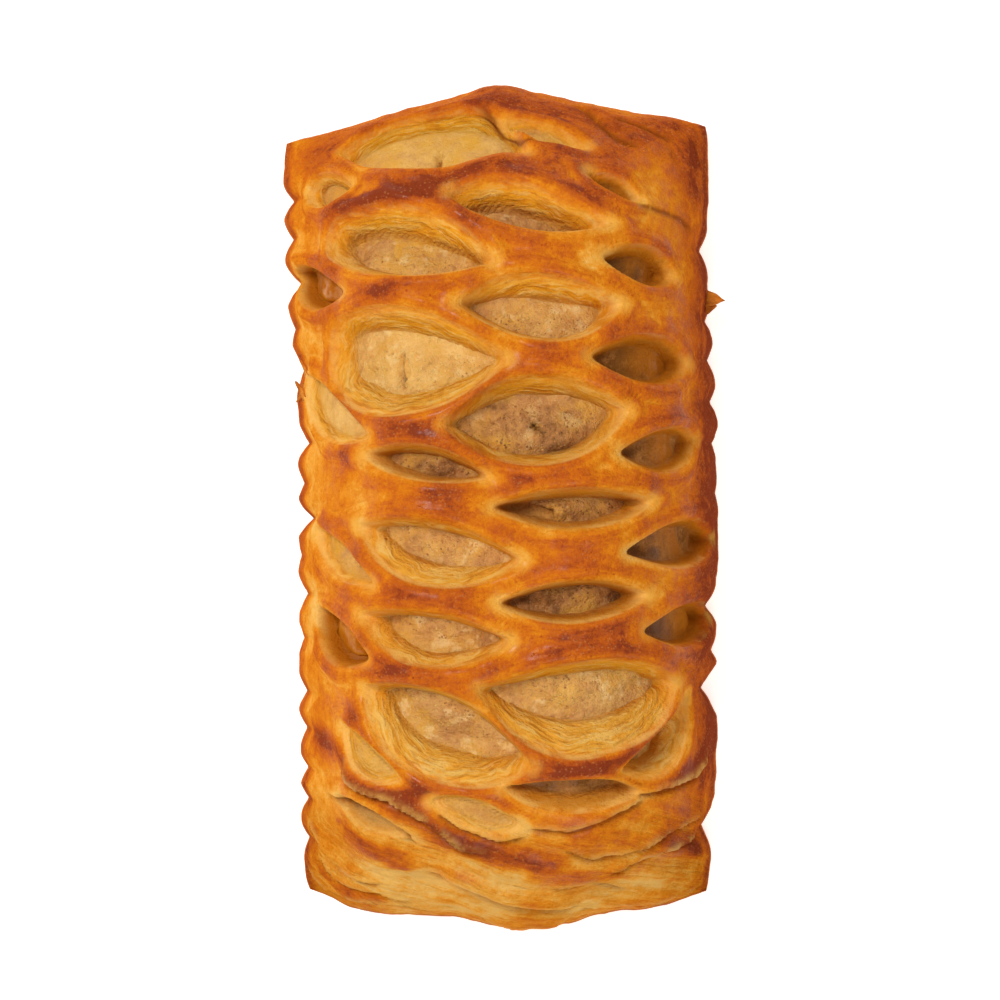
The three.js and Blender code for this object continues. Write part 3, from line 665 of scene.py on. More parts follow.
def in_scene(name, data):
    """A new object for a mesh, a light or a camera, in the scene."""
    thing = bpy.data.objects.new(name, data)
    bpy.context.scene.collection.objects.link(thing)
    return thing


def mesh_piece(name, vertices, faces, fields=None, below=None):
    """A smooth-shaded mesh object in metres, with one float attribute for each field. Vertices under
    the grid take the field's value from below, or 0."""
    mesh = bpy.data.meshes.new(name)
    mesh.from_pydata((vertices * MILLIMETRE).tolist(), [], faces)
    for key, values in (fields or {}).items():
        attribute = mesh.attributes.new(key, "FLOAT", "POINT")
        padded = np.full(len(vertices), (below or {}).get(key, 0), np.float32)
        padded[:values.size] = values.ravel()
        attribute.data.foreach_set("value", padded)
    mesh.shade_smooth()
    mesh.update()
    return in_scene(name, mesh)


across, along = relaxed_places(COLUMNS, ROWS, spread_map())
outer, fields = sheet_points(across, along)

# How much each place browned in the oven: what stands proud browned most, hollows and slit tips least;
# the flank patches also paint light and shade
TOAST_BASE = 0.43
TOAST_FINE = 0.16
TOAST_BROAD = 0.16
TOAST_CREST = 0.26
TOAST_TIP = 0.12
TOAST_HEM = 0.34
BLOTCH = 0.1
CONVEX_FINE = 0.7
CONVEX_BROAD = 1.4
FINE_CELLS = (1, 5)
BROAD_CELLS = (3, 16)
DEEPEST_MAPPED = 3
TIP_PALE_REACH = 3.5
TOAST_LINES = [
    # points along a strand or fold, half width of the browner band, how much browner
    ([(-39, -36), (-28, -38), (-21, -43), (-14, -46.5), (-8, -50.5), (-2, -52.8), (7, -54)], 1.8, 0.42),
    ([(-26, -32), (-22, -38), (-16, -43), (-5, -45), (3, -41.5), (12, -38), (22, -38)], 2.0, 0.34),
    ([(16, -41.5), (24.7, -42), (34, -41.4), (43, -38)], 1.6, 0.36),
    ([(-33, -45), (-28, -49), (-23, -53.5), (-16, -58)], 1.8, 0.3),
    ([(-45, -58), (-36, -66), (-22, -68)], 2.0, 0.3),
    ([(4, -56), (10, -58), (16, -60)], 1.6, 0.34),
    ([(26, -52), (30, -54.5), (38, -58)], 2.2, 0.34),
    ([(-27, 8), (-27, 22), (-22, 32), (-10, 36)], 1.5, 0.22),
    ([(-26, 46), (-18, 50), (-6, 49), (4, 51)], 1.8, 0.2),
    ([(-4, 20), (4, 22), (12, 23), (19, 16)], 1.4, 0.1),
]
TOAST_PATCHES = [
    # middle across and along, reach across and along, how much browner (or paler, below 0)
    (-12, 10.5, 9, 2.6, 0.3),
    (-27, 15, 3, 7, 0.2),
    (-3, 19, 7, 2, 0.15),
    (10, -19.5, 9, 2.5, 0.15),
    (-12, -11.5, 10, 2.5, 0.12),
    (12, -38, 12, 2.5, 0.15),
    (-14, -24, 9, 2.5, 0.12),
    (-14, -41, 9, 2.0, 0.3),
    (-4, -51, 8, 2, 0.3),
    (8, -59, 7, 2.5, 0.2),
    (30, -60, 9, 5, 0.2),
    (38, 60, 6, 10, 0.3),
    (22, 66, 10, 6, 0.2),
    (-12, 49, 14, 2.5, 0.3),
    (14, 55, 8, 5, 0.25),
    (0, 70, 10, 4, 0.15),
    (-35, 66, 8, 5, 0.1),
    (-26, 47, 5, 6, 0.15),
    (30, 58, 12, 9, 0.1),
    # right flank browner: partly baked darker, partly painted shade of the side turned from the key light
    (42, -20, 9, 34, 0.34),
    (42, 25, 9, 34, 0.42),
    (0, -63, 50, 12, -0.44),
    (12, -62, 6, 2, 0.3),
    (40, -57, 7, 4, 0.3),
    (44, -36, 5, 6, 0.2),
    (10, 68, 34, 9, 0.16),
    # left flank paler: partly less browned, partly painted light of the side facing the key light
    (-42, 10, 6, 60, -0.3),
    (-30, -40, 6, 8, -0.12),
    (8, -3.5, 9, 2.0, -0.1),
    (-20, 1, 9, 2.5, -0.22),
    (0, 38, 6, 2, -0.1),
    (-2, 3, 4, 3, -0.1),
]


def box_blur(values, radius, rounds=3):
    """Mean over square windows, repeated until it is nearly round; radius in cells."""
    for _ in range(rounds):
        for axis in (0, 1):
            padded = np.pad(values, [(radius + 1, radius) if k == axis else (0, 0) for k in (0, 1)], "edge")
            walked = np.cumsum(padded, axis)
            size = 2 * radius + 1
            count = values.shape[axis]
            high = np.take(walked, range(size, size + count), axis)
            values = (high - np.take(walked, range(count), axis)) / size
    return values


def relief_map():
    """Height of the sheet's relief over even cells, and how far each place stands above its
    neighbours, closely and broadly."""
    ss, tt = map_places()
    rim, foot, _, _, which = lattice(ss, tt)
    depth, _ = wall_depth(rim, foot, which)
    creased, _, _ = crease_relief(ss, tt)
    fine = fine_relief(roll_surface(ss, tt))
    height = sheet_relief(ss, tt, rim, creased) + fine - np.minimum(depth, DEEPEST_MAPPED)
    closely = box_blur(height, FINE_CELLS[0], 1) - box_blur(height, FINE_CELLS[1])
    broadly = box_blur(height, BROAD_CELLS[0]) - box_blur(height, BROAD_CELLS[1])
    return closely, broadly


def read_map(values, s, t):
    """A map's value at any place on the sheet, straight between its cells."""
    u = np.clip((s + HALF_ACROSS) / MAP_PITCH, 0, values.shape[1] - 1.001)
    v = np.clip((t + HALF_ALONG) / MAP_PITCH, 0, values.shape[0] - 1.001)
    i = u.astype(int)
    j = v.astype(int)
    fu = u - i
    fv = v - j
    low = values[j, i] * (1 - fu) + values[j, i + 1] * fu
    high = values[j + 1, i] * (1 - fu) + values[j + 1, i + 1] * fu
    return low * (1 - fv) + high * fv


fine_map, broad_map = relief_map()
toast = TOAST_BASE + BLOTCH * swell_noise(outer)
toast += TOAST_FINE * np.clip(read_map(fine_map, across, along) / CONVEX_FINE, -0.8, 1)
toast += TOAST_BROAD * np.clip(read_map(broad_map, across, along) / CONVEX_BROAD, -0.8, 1)
for patch_s, patch_t, reach_s, reach_t, amount in TOAST_PATCHES:
    toast += amount * np.exp(-((across - patch_s) / reach_s) ** 2 - ((along - patch_t) / reach_t) ** 2)
pale_edged = smooth_step(0.95, 0.8, fields["tone"])
toast += TOAST_CREST * (smooth_step(0.6, 2.8, fields["rim"]) - 0.5) * pale_edged
toast -= TOAST_TIP * np.exp(-(fields["tip"] / TIP_PALE_REACH) ** 2)
toast += TOAST_HEM * smooth_step(HALF_ACROSS - 7, HALF_ACROSS - 2, np.abs(across))
for line, reach, amount in TOAST_LINES:
    from_line, _, _ = along_path(line, across, along)
    toast += amount * np.exp(-(from_line / reach) ** 2) * smooth_step(0.2, 1.2, fields["rim"])
fields["toast"] = toast

crust_body = closed_dome(outer, across, along, FOOT_LOOPS)
crust = mesh_piece("pastry_crust", *crust_body, fields, {"toast": FOOT_TOAST, "rim": FOOT_RIM})


class Wire:
    """A node's output. Sums of wires and numbers add their own Math nodes."""

    def __init__(self, tree, socket):
        self.tree = tree
        self.socket = socket

    def math(self, operation, *values):
        return self.tree.node("ShaderNodeMath", {"operation": operation}, dict(enumerate(values)))

    def __add__(self, other):
        return self.math("ADD", self, other)

    def __sub__(self, other):
        return self.math("SUBTRACT", self, other)

    def __rsub__(self, other):
        return self.math("SUBTRACT", other, self)

    def __mul__(self, other):
        return self.math("MULTIPLY", self, other)

    __radd__ = __add__
    __rmul__ = __mul__


class NodeTree:
    """Adds nodes to a tree, each by one call that gives its type, settings and sockets."""

    def __init__(self, tree):
        self.tree = tree
        self.tree.nodes.clear()

    def node(self, kind, settings=None, sockets=None, output=0):
        node = self.tree.nodes.new(kind)
        for name, value in (settings or {}).items():
            if name == "stops":
                ramp = node.color_ramp
                while len(ramp.elements) < len(value):
                    ramp.elements.new(0.5)
                for element, (place, colour) in zip(ramp.elements, value):
                    element.position = place
                    element.color = (*colour, 1)
            else:
                setattr(node, name, value)
        for name, value in (sockets or {}).items():
            if isinstance(value, Wire):
                self.tree.links.new(value.socket, node.inputs[name])
            else:
                node.inputs[name].default_value = value
        return Wire(self, node.outputs[output]) if len(node.outputs) else node

    def attribute(self, name):
        return self.node("ShaderNodeAttribute", {"attribute_name": name}, output="Fac")

    def object_place(self):
        return self.node("ShaderNodeTexCoord", output="Object")

    def noise(self, place, scale, detail=2.0, roughness=0.5):
        sockets = {"Vector": place, "Scale": scale, "Detail": detail, "Roughness": roughness}
        return self.node("ShaderNodeTexNoise", {}, sockets)

    def cells(self, place, scale):
        return self.node("ShaderNodeTexVoronoi", {}, {"Vector": place, "Scale": scale})

    def vector(self, x, y, z):
        return self.node("ShaderNodeCombineXYZ", {}, {"X": x, "Y": y, "Z": z})

    def ease(self, value, start, stop):
        """0 below start and 1 above stop, smooth between; start may be the larger."""
        sockets = {"Value": value, "From Min": start, "From Max": stop}
        return self.node("ShaderNodeMapRange", {"interpolation_type": "SMOOTHSTEP"}, sockets)

    def ramp(self, value, stops):
        return self.node("ShaderNodeValToRGB", {"stops": stops}, {"Fac": value})

    def mix(self, share, first, second):
        """Colours, each a wire or three numbers, mixed by share."""
        first = first if isinstance(first, Wire) else (*first, 1)
        second = second if isinstance(second, Wire) else (*second, 1)
        return self.node("ShaderNodeMix", {"data_type": "RGBA"}, {0: share, 6: first, 7: second}, output=2)

    def coats(self, colour, *layers):
        """A colour with others laid over it one by one, each by its share."""
        for share, layer in layers:
            colour = self.mix(share, colour, layer)
        return colour

    def bump(self, height):
        """Normal of a surface raised by height, in metres."""
        return self.node("ShaderNodeBump", {}, {"Strength": 1.0, "Distance": 1.0, "Height": height})

    def surface(self, sockets):
        """The shader that the material ends in."""
        shader = self.node("ShaderNodeBsdfPrincipled", {}, sockets)
        self.node("ShaderNodeOutputMaterial", {}, {"Surface": shader})


def new_look(name):
    """A new material, and its empty tree."""
    look = bpy.data.materials.new(name)
    look.use_nodes = True
    return look, NodeTree(look.node_tree)


BUBBLE_SIZE = 0.55
CRUST_COLOURS = [
    (0.0, (0.88, 0.49, 0.12)),
    (0.2, (0.85, 0.36, 0.042)),
    (0.4, (0.76, 0.235, 0.010)),
    (0.6, (0.63, 0.145, 0.009)),
    (0.8, (0.48, 0.090, 0.012)),
    (1.0, (0.27, 0.043, 0.012)),
]
WALL_COLOURS = [
    (0.0, (0.78, 0.25, 0.010)),
    (0.12, (0.84, 0.35, 0.022)),
    (0.3, (0.82, 0.33, 0.016)),
    (0.65, (0.74, 0.30, 0.016)),
    (1.0, (0.64, 0.29, 0.03)),
]
# colours by how dark a slit is: the darker end is partly painted shade of slits in shadow
FLOOR_COLOURS = [
    (0.0, (0.88, 0.54, 0.17)),
    (0.3, (0.76, 0.41, 0.105)),
    (0.6, (0.56, 0.255, 0.070)),
    (0.8, (0.40, 0.165, 0.042)),
    (1.0, (0.20, 0.075, 0.014)),
]
BUBBLE_SKIN = (0.60, 0.24, 0.075)
# near walls: paler baked layers, partly painted light
NEAR_WALL = (0.88, 0.45, 0.075)
PALE_LAYER = (0.90, 0.54, 0.13)
DARK_LAYER = (0.54, 0.16, 0.008)
PALE_THREAD = (0.92, 0.60, 0.18)
DARK_THREAD = (0.50, 0.15, 0.010)
OVEN_SPOT = (0.62, 0.20, 0.012)
# darker walls in the darkest slits: partly soaked with juices, partly painted shade
SOAKED_AND_SHADED_WALL = (0.42, 0.120, 0.005)
GOLDEN_FLOOR = (0.76, 0.36, 0.030)
SYRUP_FLOOR = (0.50, 0.155, 0.008)
AMBER_WALL = (0.42, 0.115, 0.005)
# pale slit tips: less browned dough, partly a painted highlight
PALE_TIP_AND_HIGHLIGHT = (0.87, 0.44, 0.07)
# painted highlight along the slit rims
PAINTED_RIM_HIGHLIGHT = (0.92, 0.55, 0.14)
# painted light on the lips of the folds
PAINTED_LIP_LIGHT = (0.88, 0.47, 0.10)
# painted shade in the valleys of the folds
PAINTED_CREASE_SHADE = (0.27, 0.058, 0.006)

# Fineness of the skin's patterns, in waves a metre, and how high each stands, in metres
BLOTCH_WAVES = 260.0
CLOUD_WAVES = 95.0
GRAIN_WAVES = 2300.0
SPECKLE_WAVES = 800.0
STREAK_HEIGHT = 0.00028
FOLD_HEIGHT = 0.0013
BLOTCH_HEIGHT = 0.00035
SPECKLE_HEIGHT = 0.00045
GRAIN_HEIGHT = 0.00018
FLOOR_GRAIN_HEIGHT = 0.00010
LAYER_HEIGHT = 0.0009
THREAD_HEIGHT = 0.0005

baked, tree = new_look("baked_pastry")
place = tree.object_place()
rim = tree.attribute("rim")
wall = tree.attribute("wall")
tone = tree.attribute("tone")
on_floor = tree.attribute("floor")
across_at = tree.attribute("across")
along_at = tree.attribute("along")
flank = tree.ease(across_at.math("ABSOLUTE", across_at), 28.0, 38.0)
far_out = tree.ease(along_at.math("ABSOLUTE", along_at), 58.0, 68.0)
folded = tree.ease(along_at, -42.0, -52.0)
slanted = along_at + across_at * FOLD_SLANT

# Baked layers run along the slits' edges on the strands, and aslant in the folds of the near end
streaks = tree.noise(tree.vector(rim * 0.9, across_at * 0.13, along_at * 0.13), 1.0, 4.0, 0.62)
fold_lines = tree.noise(tree.vector(slanted * 0.8, across_at * 0.07, 0.0), 1.0, 5.0, 0.65)
blotches = tree.noise(place, BLOTCH_WAVES, 5.0, 0.62)
clouds = tree.noise(place, CLOUD_WAVES, 2.0, 0.5)
grain = tree.noise(place, GRAIN_WAVES, 3.0, 0.7)
speckle = tree.noise(place, SPECKLE_WAVES, 4.0, 0.7)
browned = (
    tree.attribute("toast")
    + (streaks - 0.5) * tree.ease(rim, 6.0, 3.0) * (1.0 - folded) * 0.75
    + (fold_lines - 0.5) * folded * 0.8
    + (blotches - 0.5) * 0.75
    + (clouds - 0.5) * 0.5
    + (speckle - 0.5) * 0.45
    + (grain - 0.5) * 0.4
)
outside = tree.ramp(browned, CRUST_COLOURS)
bubbles = tree.ease(tree.cells(place, 1000 / BUBBLE_SIZE), 0.42, 0.12)
bubbled = bubbles * tree.ease(browned, 0.55, 0.75) * tree.ease(tree.noise(place, 600.0), 0.4, 0.55)
outside = tree.mix(bubbled * 0.4, outside, BUBBLE_SKIN)

# Walls of the slits: golden at the far side; paler at the near side, partly ledges of baked layers and
# partly painted light where those walls face the key light
bent_rim = rim + (tree.noise(place, 140.0) - 0.5) * 3.0
layers = tree.noise(tree.vector(bent_rim * 1.3, across_at * 0.16, along_at * 0.16), 1.0, 4.0, 0.62)
threads = tree.noise(tree.vector(bent_rim * 3.4, across_at * 0.3, along_at * 0.3), 1.0, 3.0, 0.6)
near_side = tree.ease(tree.attribute("up_slit"), 0.1, -0.6) * tree.ease(tone, 0.95, 0.75)
crusted = tree.ease(wall, 0.55, 0.1) * (1.0 - near_side) * tree.ease(blotches, 0.35, 0.6)
inside = tree.coats(
    tree.ramp(wall + (layers - 0.5) * 1.5, WALL_COLOURS),
    # near walls, facing the key light: paler, partly painted light
    (near_side * 0.4, NEAR_WALL),
    (tree.ease(layers, 0.52, 0.6) * (near_side * 0.4 + 0.3), PALE_LAYER),
    (tree.ease(layers, 0.46, 0.38) * 0.5, DARK_LAYER),
    (tree.ease(threads, 0.52, 0.62) * 0.4, PALE_THREAD),
    (tree.ease(threads, 0.46, 0.36) * 0.4, DARK_THREAD),
    (tree.ease(blotches, 0.55, 0.7) * 0.4, OVEN_SPOT),
    # darker walls in the darkest slits: partly juices, partly painted shade
    (tree.ease(tone, 0.62, 0.86) * 0.9, SOAKED_AND_SHADED_WALL),
    (crusted * 0.7, outside),
)

# Floors: golden where they are pale, and soaked with syrupy juices towards the right-hand edge
golden = tree.ease(tree.noise(place, 170.0, 4.0, 0.7), 0.36, 0.7) * tree.ease(tone, 0.85, 0.6)
syrup = tree.ease(tree.attribute("along_slit"), -0.6, 0.2) * tree.ease(across_at, 14.0, 20.0)
amber = tree.ease(across_at, -22.0, -28.0) * tree.ease(tone, 0.82, 0.88)
floor_colour = tree.coats(
    # darker in slits that lie in shadow: partly painted shade
    tree.ramp(tone + (blotches - 0.5) * 1.3 + (grain - 0.5) * 0.45, FLOOR_COLOURS),
    (golden * 0.8, GOLDEN_FLOOR),
    (syrup * tree.ease(clouds, 0.34, 0.5) * 0.9, SYRUP_FLOOR),
)
inside = tree.coats(
    inside,
    (on_floor, floor_colour),
    (folded * tree.ease(tone, 0.9, 0.8) * 0.5, outside),
    (amber * tree.ease(blotches, 0.3, 0.5) * 0.9, AMBER_WALL),
)

# The skin from outside and inside; a painted highlight along the rims; pale tips, partly less browned
# dough and partly painted highlight; painted light on the folds' lips and painted shade in their valleys
# pale slit tips: less browned dough, partly a painted highlight
tip_pale_and_highlight = tree.ease(tree.attribute("tip"), 2.4, 0.2) * tree.ease(rim, -0.2, 0.3)
# painted highlight where the sheet's edge at a rim catches the light
rim_highlight = tree.ease(rim, -0.3, 0.05) * tree.ease(rim, 0.5, 0.15) * tree.ease(streaks, 0.42, 0.58)
base = tree.coats(
    inside,
    (tree.ease(rim, -0.5, 0.5), outside),
    # pale slit tips, partly a painted highlight
    (tip_pale_and_highlight * tree.ease(blotches, 0.35, 0.6) * 0.6, PALE_TIP_AND_HIGHLIGHT),
    # painted highlight along the rims, stronger on the near side
    (rim_highlight * (near_side * 0.4 + 0.2), PAINTED_RIM_HIGHLIGHT),
    # painted light on the raised lips of the folds
    (tree.attribute("fold_lip") * tree.ease(blotches, 0.35, 0.6) * 0.7, PAINTED_LIP_LIGHT),
    # painted shade in the valleys of the folds
    (tree.attribute("crease") * tree.ease(blotches, 0.25, 0.5) * 0.85, PAINTED_CREASE_SHADE),
)

relief = (
    streaks * tree.ease(rim, 7.0, 4.0) * STREAK_HEIGHT
    + fold_lines * folded * FOLD_HEIGHT
    + blotches * BLOTCH_HEIGHT
    + speckle * SPECKLE_HEIGHT
    + grain * (on_floor * FLOOR_GRAIN_HEIGHT + GRAIN_HEIGHT)
    + (layers * LAYER_HEIGHT + threads * THREAD_HEIGHT) * tree.ease(rim, 0.2, -1.2) * (1.0 - on_floor)
)
tree.surface({
    "Base Color": base,
    "Roughness": tree.ease(browned, 0.2, 0.9) * 0.1 + flank * 0.3 + 0.42,
    "IOR": 1.03,
    "Coat Weight": (tree.ease(blotches, 0.42, 0.62) * 0.16 + 0.02) * (1.0 - flank) * (1.0 - far_out),
    "Coat Roughness": 0.22,
    "Normal": tree.bump(relief),
})
crust.data.materials.append(baked)

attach(crust, "root")
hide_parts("crust")

# Filling. The real piece is a soft, finely minced cooked filling laid along the middle of the sheet;
# it shows through every slit, lumpy and crumbly, with a few holes where it has shrunk back.
GAP = 0.1
FILLING_RISE = 1.0
FILLING_COLUMNS = 176
FILLING_ROWS = 256
HIDDEN_CLOSENESS = 0.3
BULGE = 0.6
LUMP = 0.5
CRUMB = 0.24
# Hollows: middle across and along, reach across and along, tilt in degrees and depth
HOLLOWS = [
    (2.5, -1.0, 5.2, 1.7, -8, 7.0),
    (4.6, 13.0, 0.9, 0.45, -30, 1.6),
    (5.9, 12.2, 0.6, 0.3, 0, 1.2),
    (-17.7, 24.0, 0.8, 3.2, 0, 1.6),
    (-14.8, 19.0, 0.7, 1.0, 0, 0.8),
    (-8.5, 57.0, 0.6, 1.8, 0, 1.0),
    (11.5, 42.7, 1.1, 1.3, 0, 1.0),
    (7.4, -26.5, 0.8, 0.4, 0, 0.8),
    (27.5, -18.2, 1.6, 0.9, 20, 1.6),
]


_, shown_foot, _, _, _ = lattice(*map_places())
filling_closeness = HIDDEN_CLOSENESS + smooth_step(3, 0.5, shown_foot)
filling_s, filling_t = relaxed_places(FILLING_COLUMNS, FILLING_ROWS, filling_closeness)
core = roll_surface(filling_s, filling_t, SHEET + GAP, END_WALL + GAP, BOTTOM_SHEET - GAP)
core_normal = roll_normal(filling_s, filling_t)
_, filling_foot, _, _, nearest_slit = lattice(filling_s, filling_t)
risen = FILLING_RISE + BULGE * smooth_step(0.5, -2.5, filling_foot)
core += core_normal * (risen * smooth_step(2, 10, core[..., 2] - BOTTOM_SHEET))[..., None]
mince_noise = SoftNoise(21, 3.1)
crumb_noise = SoftNoise(22, 1.1)
fleck_noise = SoftNoise(23, 0.55)
lumps = LUMP * mince_noise(core) + CRUMB * crumb_noise(core) + 0.07 * fleck_noise(core)
sunk = np.zeros(filling_s.shape)
for hollow_s, hollow_t, reach_s, reach_t, tilt, depth in HOLLOWS:
    u, v = turned(filling_s - hollow_s, filling_t - hollow_t, tilt)
    ragged = 0.22 * crumb_noise(core * 1.3) + 0.12 * fleck_noise(core)
    inside_hollow = smooth_step(1.15, 0.75, np.hypot(u / reach_s, v / reach_t) + ragged)
    sunk = np.maximum(sunk, depth * inside_hollow)
core += core_normal * ((lumps - sunk) * smooth_step(2, 10, core[..., 2] - BOTTOM_SHEET))[..., None]
# how dark each slit's filling is, partly painted shade
filling_tone = of_slit(SLIT_TONE, nearest_slit)
filling_fields = {"sunk": sunk, "tone": filling_tone}
filling_body = closed_dome(core, filling_s, filling_t, [])
filling = mesh_piece("meat_filling", *filling_body, filling_fields)

GOLDEN_FILLING = (0.74, 0.37, 0.045)
CREAM = (0.90, 0.62, 0.26)
PALE_FLECK = (0.90, 0.60, 0.28)
DARK_MINCE = (0.36, 0.16, 0.035)
# painted shade in the filling's hollows
PAINTED_HOLLOW_SHADE = (0.12, 0.035, 0.004)

meat, tree = new_look("meat_filling")
place = tree.object_place()
patches = tree.noise(place, 210.0, 4.0, 0.6)
mince = tree.noise(place, 900.0, 4.0, 0.7)
flecks = tree.cells(place, 1500.0)
tone = tree.attribute("tone")
golden = tree.ease(tree.noise(place, 170.0, 4.0, 0.65), 0.42, 0.68)
cream = tree.ease(tree.noise(place, 330.0, 3.0, 0.6), 0.53, 0.66) * tree.ease(tone, 0.9, 0.5)
base = tree.coats(
    # darker in slits that lie in shadow: partly painted shade
    tree.ramp(tone + (patches - 0.5) * 1.15 + (mince - 0.5) * 0.75, FLOOR_COLOURS),
    (golden * 0.7, GOLDEN_FILLING),
    (cream * 0.55, CREAM),
    (tree.ease(flecks, 0.2, 0.05) * 0.35, PALE_FLECK),
    (tree.ease(mince, 0.42, 0.3) * 0.35, DARK_MINCE),
    # painted shade, darker the deeper a hollow is sunk
    (tree.ease(tree.attribute("sunk"), 0.3, 2.5), PAINTED_HOLLOW_SHADE),
)
tree.surface({
    "Base Color": base,
    "Roughness": tree.ease(mince, 0.3, 0.7) * 0.25 + 0.35,
    "Specular IOR Level": 0.3,
    "Subsurface Weight": 0.2,
    "Subsurface Radius": (1.0, 0.6, 0.3),
    "Subsurface Scale": 0.0012,
    "Normal": tree.bump(patches * 0.0009 + mince * 0.0006 + tree.noise(place, 3000.0, 2.0) * 0.00018),
})
filling.data.materials.append(meat)

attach(filling, "root")
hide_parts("filling")

# Mince grains. The real filling is minced so finely that only its coarsest grains stand out of it.
# They are scattered over the filling where the slits show it, as small flattened lumps half sunk in
# it. Their radius is in metres, and their number is a square metre's where they lie closest.
GRAIN_RADIUS = 0.00026
GRAIN_PER_AREA = 1.6e6
GRAIN_SEED = 5

# Every scattered lump: how flat it is, how much it may shrink or grow each way, and how far it may turn
LUMP_FLATNESS = 0.4
SMALLEST_LUMP = (0.4, 0.3, 0.4)
LARGEST_LUMP = (1.1, 0.9, 1.0)
FULL_TURN = 6.28


def scatter(name, carrier, density, radius, per_area, seed, material):
    """Small flat lumps over a carrier mesh, more where its named attribute is high. The carrier is
    removed and only the lumps stay."""
    group = bpy.data.node_groups.new(name, "GeometryNodeTree")
    nodes = NodeTree(group)
    inputs = {}
    face = group.interface
    face.new_socket("Geometry", in_out="INPUT", socket_type="NodeSocketGeometry")
    for label, value in (("Radius", radius), ("Flatness", LUMP_FLATNESS), ("Per area", per_area)):
        socket = face.new_socket(label, in_out="INPUT", socket_type="NodeSocketFloat")
        inputs[socket.identifier] = value
    face.new_socket("Geometry", in_out="OUTPUT", socket_type="NodeSocketGeometry")
    start = group.nodes.new("NodeGroupInput")
    surface, size, flat, dense = [Wire(nodes, start.outputs[k]) for k in range(4)]
    share = nodes.node("GeometryNodeInputNamedAttribute", {"data_type": "FLOAT"}, {"Name": density})
    points = nodes.node("GeometryNodeDistributePointsOnFaces", {}, {
        "Mesh": surface, "Density": share * dense, "Seed": seed,
    })
    lump = nodes.node("GeometryNodeMeshIcoSphere", {}, {"Radius": size, "Subdivisions": 1})
    sunk = nodes.vector(1.0, 1.0, flat)
    lump = nodes.node("GeometryNodeTransform", {}, {"Geometry": lump, "Scale": sunk})
    spread = nodes.node("FunctionNodeRandomValue", {"data_type": "FLOAT_VECTOR"}, {
        "Min": SMALLEST_LUMP, "Max": LARGEST_LUMP, "Seed": seed + 1,
    })
    any_turn = {3: FULL_TURN, "Seed": seed + 2}
    turn = nodes.node("FunctionNodeRandomValue", {"data_type": "FLOAT"}, any_turn, output=1)
    spun = nodes.node("ShaderNodeCombineXYZ", {}, {"Z": turn})
    standing = Wire(nodes, points.socket.node.outputs["Rotation"])
    facing = nodes.node("FunctionNodeRotateRotation", {"rotation_space": "LOCAL"}, {
        "Rotation": standing, "Rotate By": spun,
    })
    placed = nodes.node("GeometryNodeInstanceOnPoints", {}, {
        "Points": points,
        "Instance": lump,
        "Rotation": facing,
        "Scale": spread,
    })
    real = nodes.node("GeometryNodeRealizeInstances", {}, {"Geometry": placed})
    done = nodes.node("GeometryNodeSetMaterial", {}, {"Geometry": real, "Material": material})
    finish = group.nodes.new("NodeGroupOutput")
    group.links.new(done.socket, finish.inputs[0])
    modifier = carrier.modifiers.new(name, "NODES")
    modifier.node_group = group
    for identifier, value in inputs.items():
        modifier[identifier] = value
    view = bpy.context.evaluated_depsgraph_get()
    mesh = bpy.data.meshes.new_from_object(carrier.evaluated_get(view), depsgraph=view)
    mesh.name = name
    bpy.data.objects.remove(carrier)
    mesh.shade_smooth()
    return in_scene(name, mesh)


mince_look, tree = new_look("mince_grain")
place = tree.object_place()
each = tree.noise(place, 900.0, 2.0)
tree.surface({
    # darker in slits that lie in shadow: partly painted shade
    "Base Color": tree.ramp(tree.attribute("tone") + (each - 0.5) * 1.6 + 0.02, FLOOR_COLOURS),
    "Roughness": tree.ease(each, 0.3, 0.7) * 0.3 + 0.3,
    "Specular IOR Level": 0.3,
    "Subsurface Weight": 0.25,
    "Subsurface Radius": (1.0, 0.6, 0.3),
    "Subsurface Scale": 0.0006,
    "Normal": tree.bump(tree.noise(place, 4000.0) * 0.0001),
})

shown = smooth_step(0.3, -0.6, filling_foot) * smooth_step(1.5, 0.3, sunk)
grain_fields = {"shown": shown, "tone": filling_tone}
carrier = mesh_piece("grain_carrier", core.reshape(-1, 3), grid_faces(*shown.shape), grain_fields)
grains = scatter("mince_grains", carrier, "shown", GRAIN_RADIUS, GRAIN_PER_AREA, GRAIN_SEED, mince_look)
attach(grains, "root")

# Blisters. Where the strands browned most, steam raised fine blisters in the egg-washed skin. They
# are low domes of the same crust, half sunk in it, with their radius and number as the grains have.
BLISTER_RADIUS = 0.00024
BLISTER_PER_AREA = 0.6e6
BLISTER_SEED = 9

blister_look, tree = new_look("blistered_skin")
place = tree.object_place()
each = tree.noise(place, 700.0, 3.0)
tree.surface({
    "Base Color": tree.ramp(tree.attribute("toast") + (each - 0.5) * 1.0 - 0.02, CRUST_COLOURS),
    "Roughness": tree.ease(each, 0.3, 0.7) * 0.2 + 0.4,
    "IOR": 1.1,
    "Normal": tree.bump(tree.noise(place, 5000.0) * 0.00006),
})

blistered = smooth_step(0.52, 0.72, toast) * smooth_step(0.8, 1.6, fields["rim"])
blistered *= smooth_step(HALF_ACROSS - 12, HALF_ACROSS - 20, np.abs(across)) * smooth_step(-42, -36, along)
blister_fields = {"blistered": blistered, "toast": toast}
carrier = mesh_piece("blister_carrier", outer.reshape(-1, 3), grid_faces(*across.shape), blister_fields)
blisters = scatter(
    "skin_blisters", carrier, "blistered", BLISTER_RADIUS, BLISTER_PER_AREA, BLISTER_SEED, blister_look
)
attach(blisters, "root")

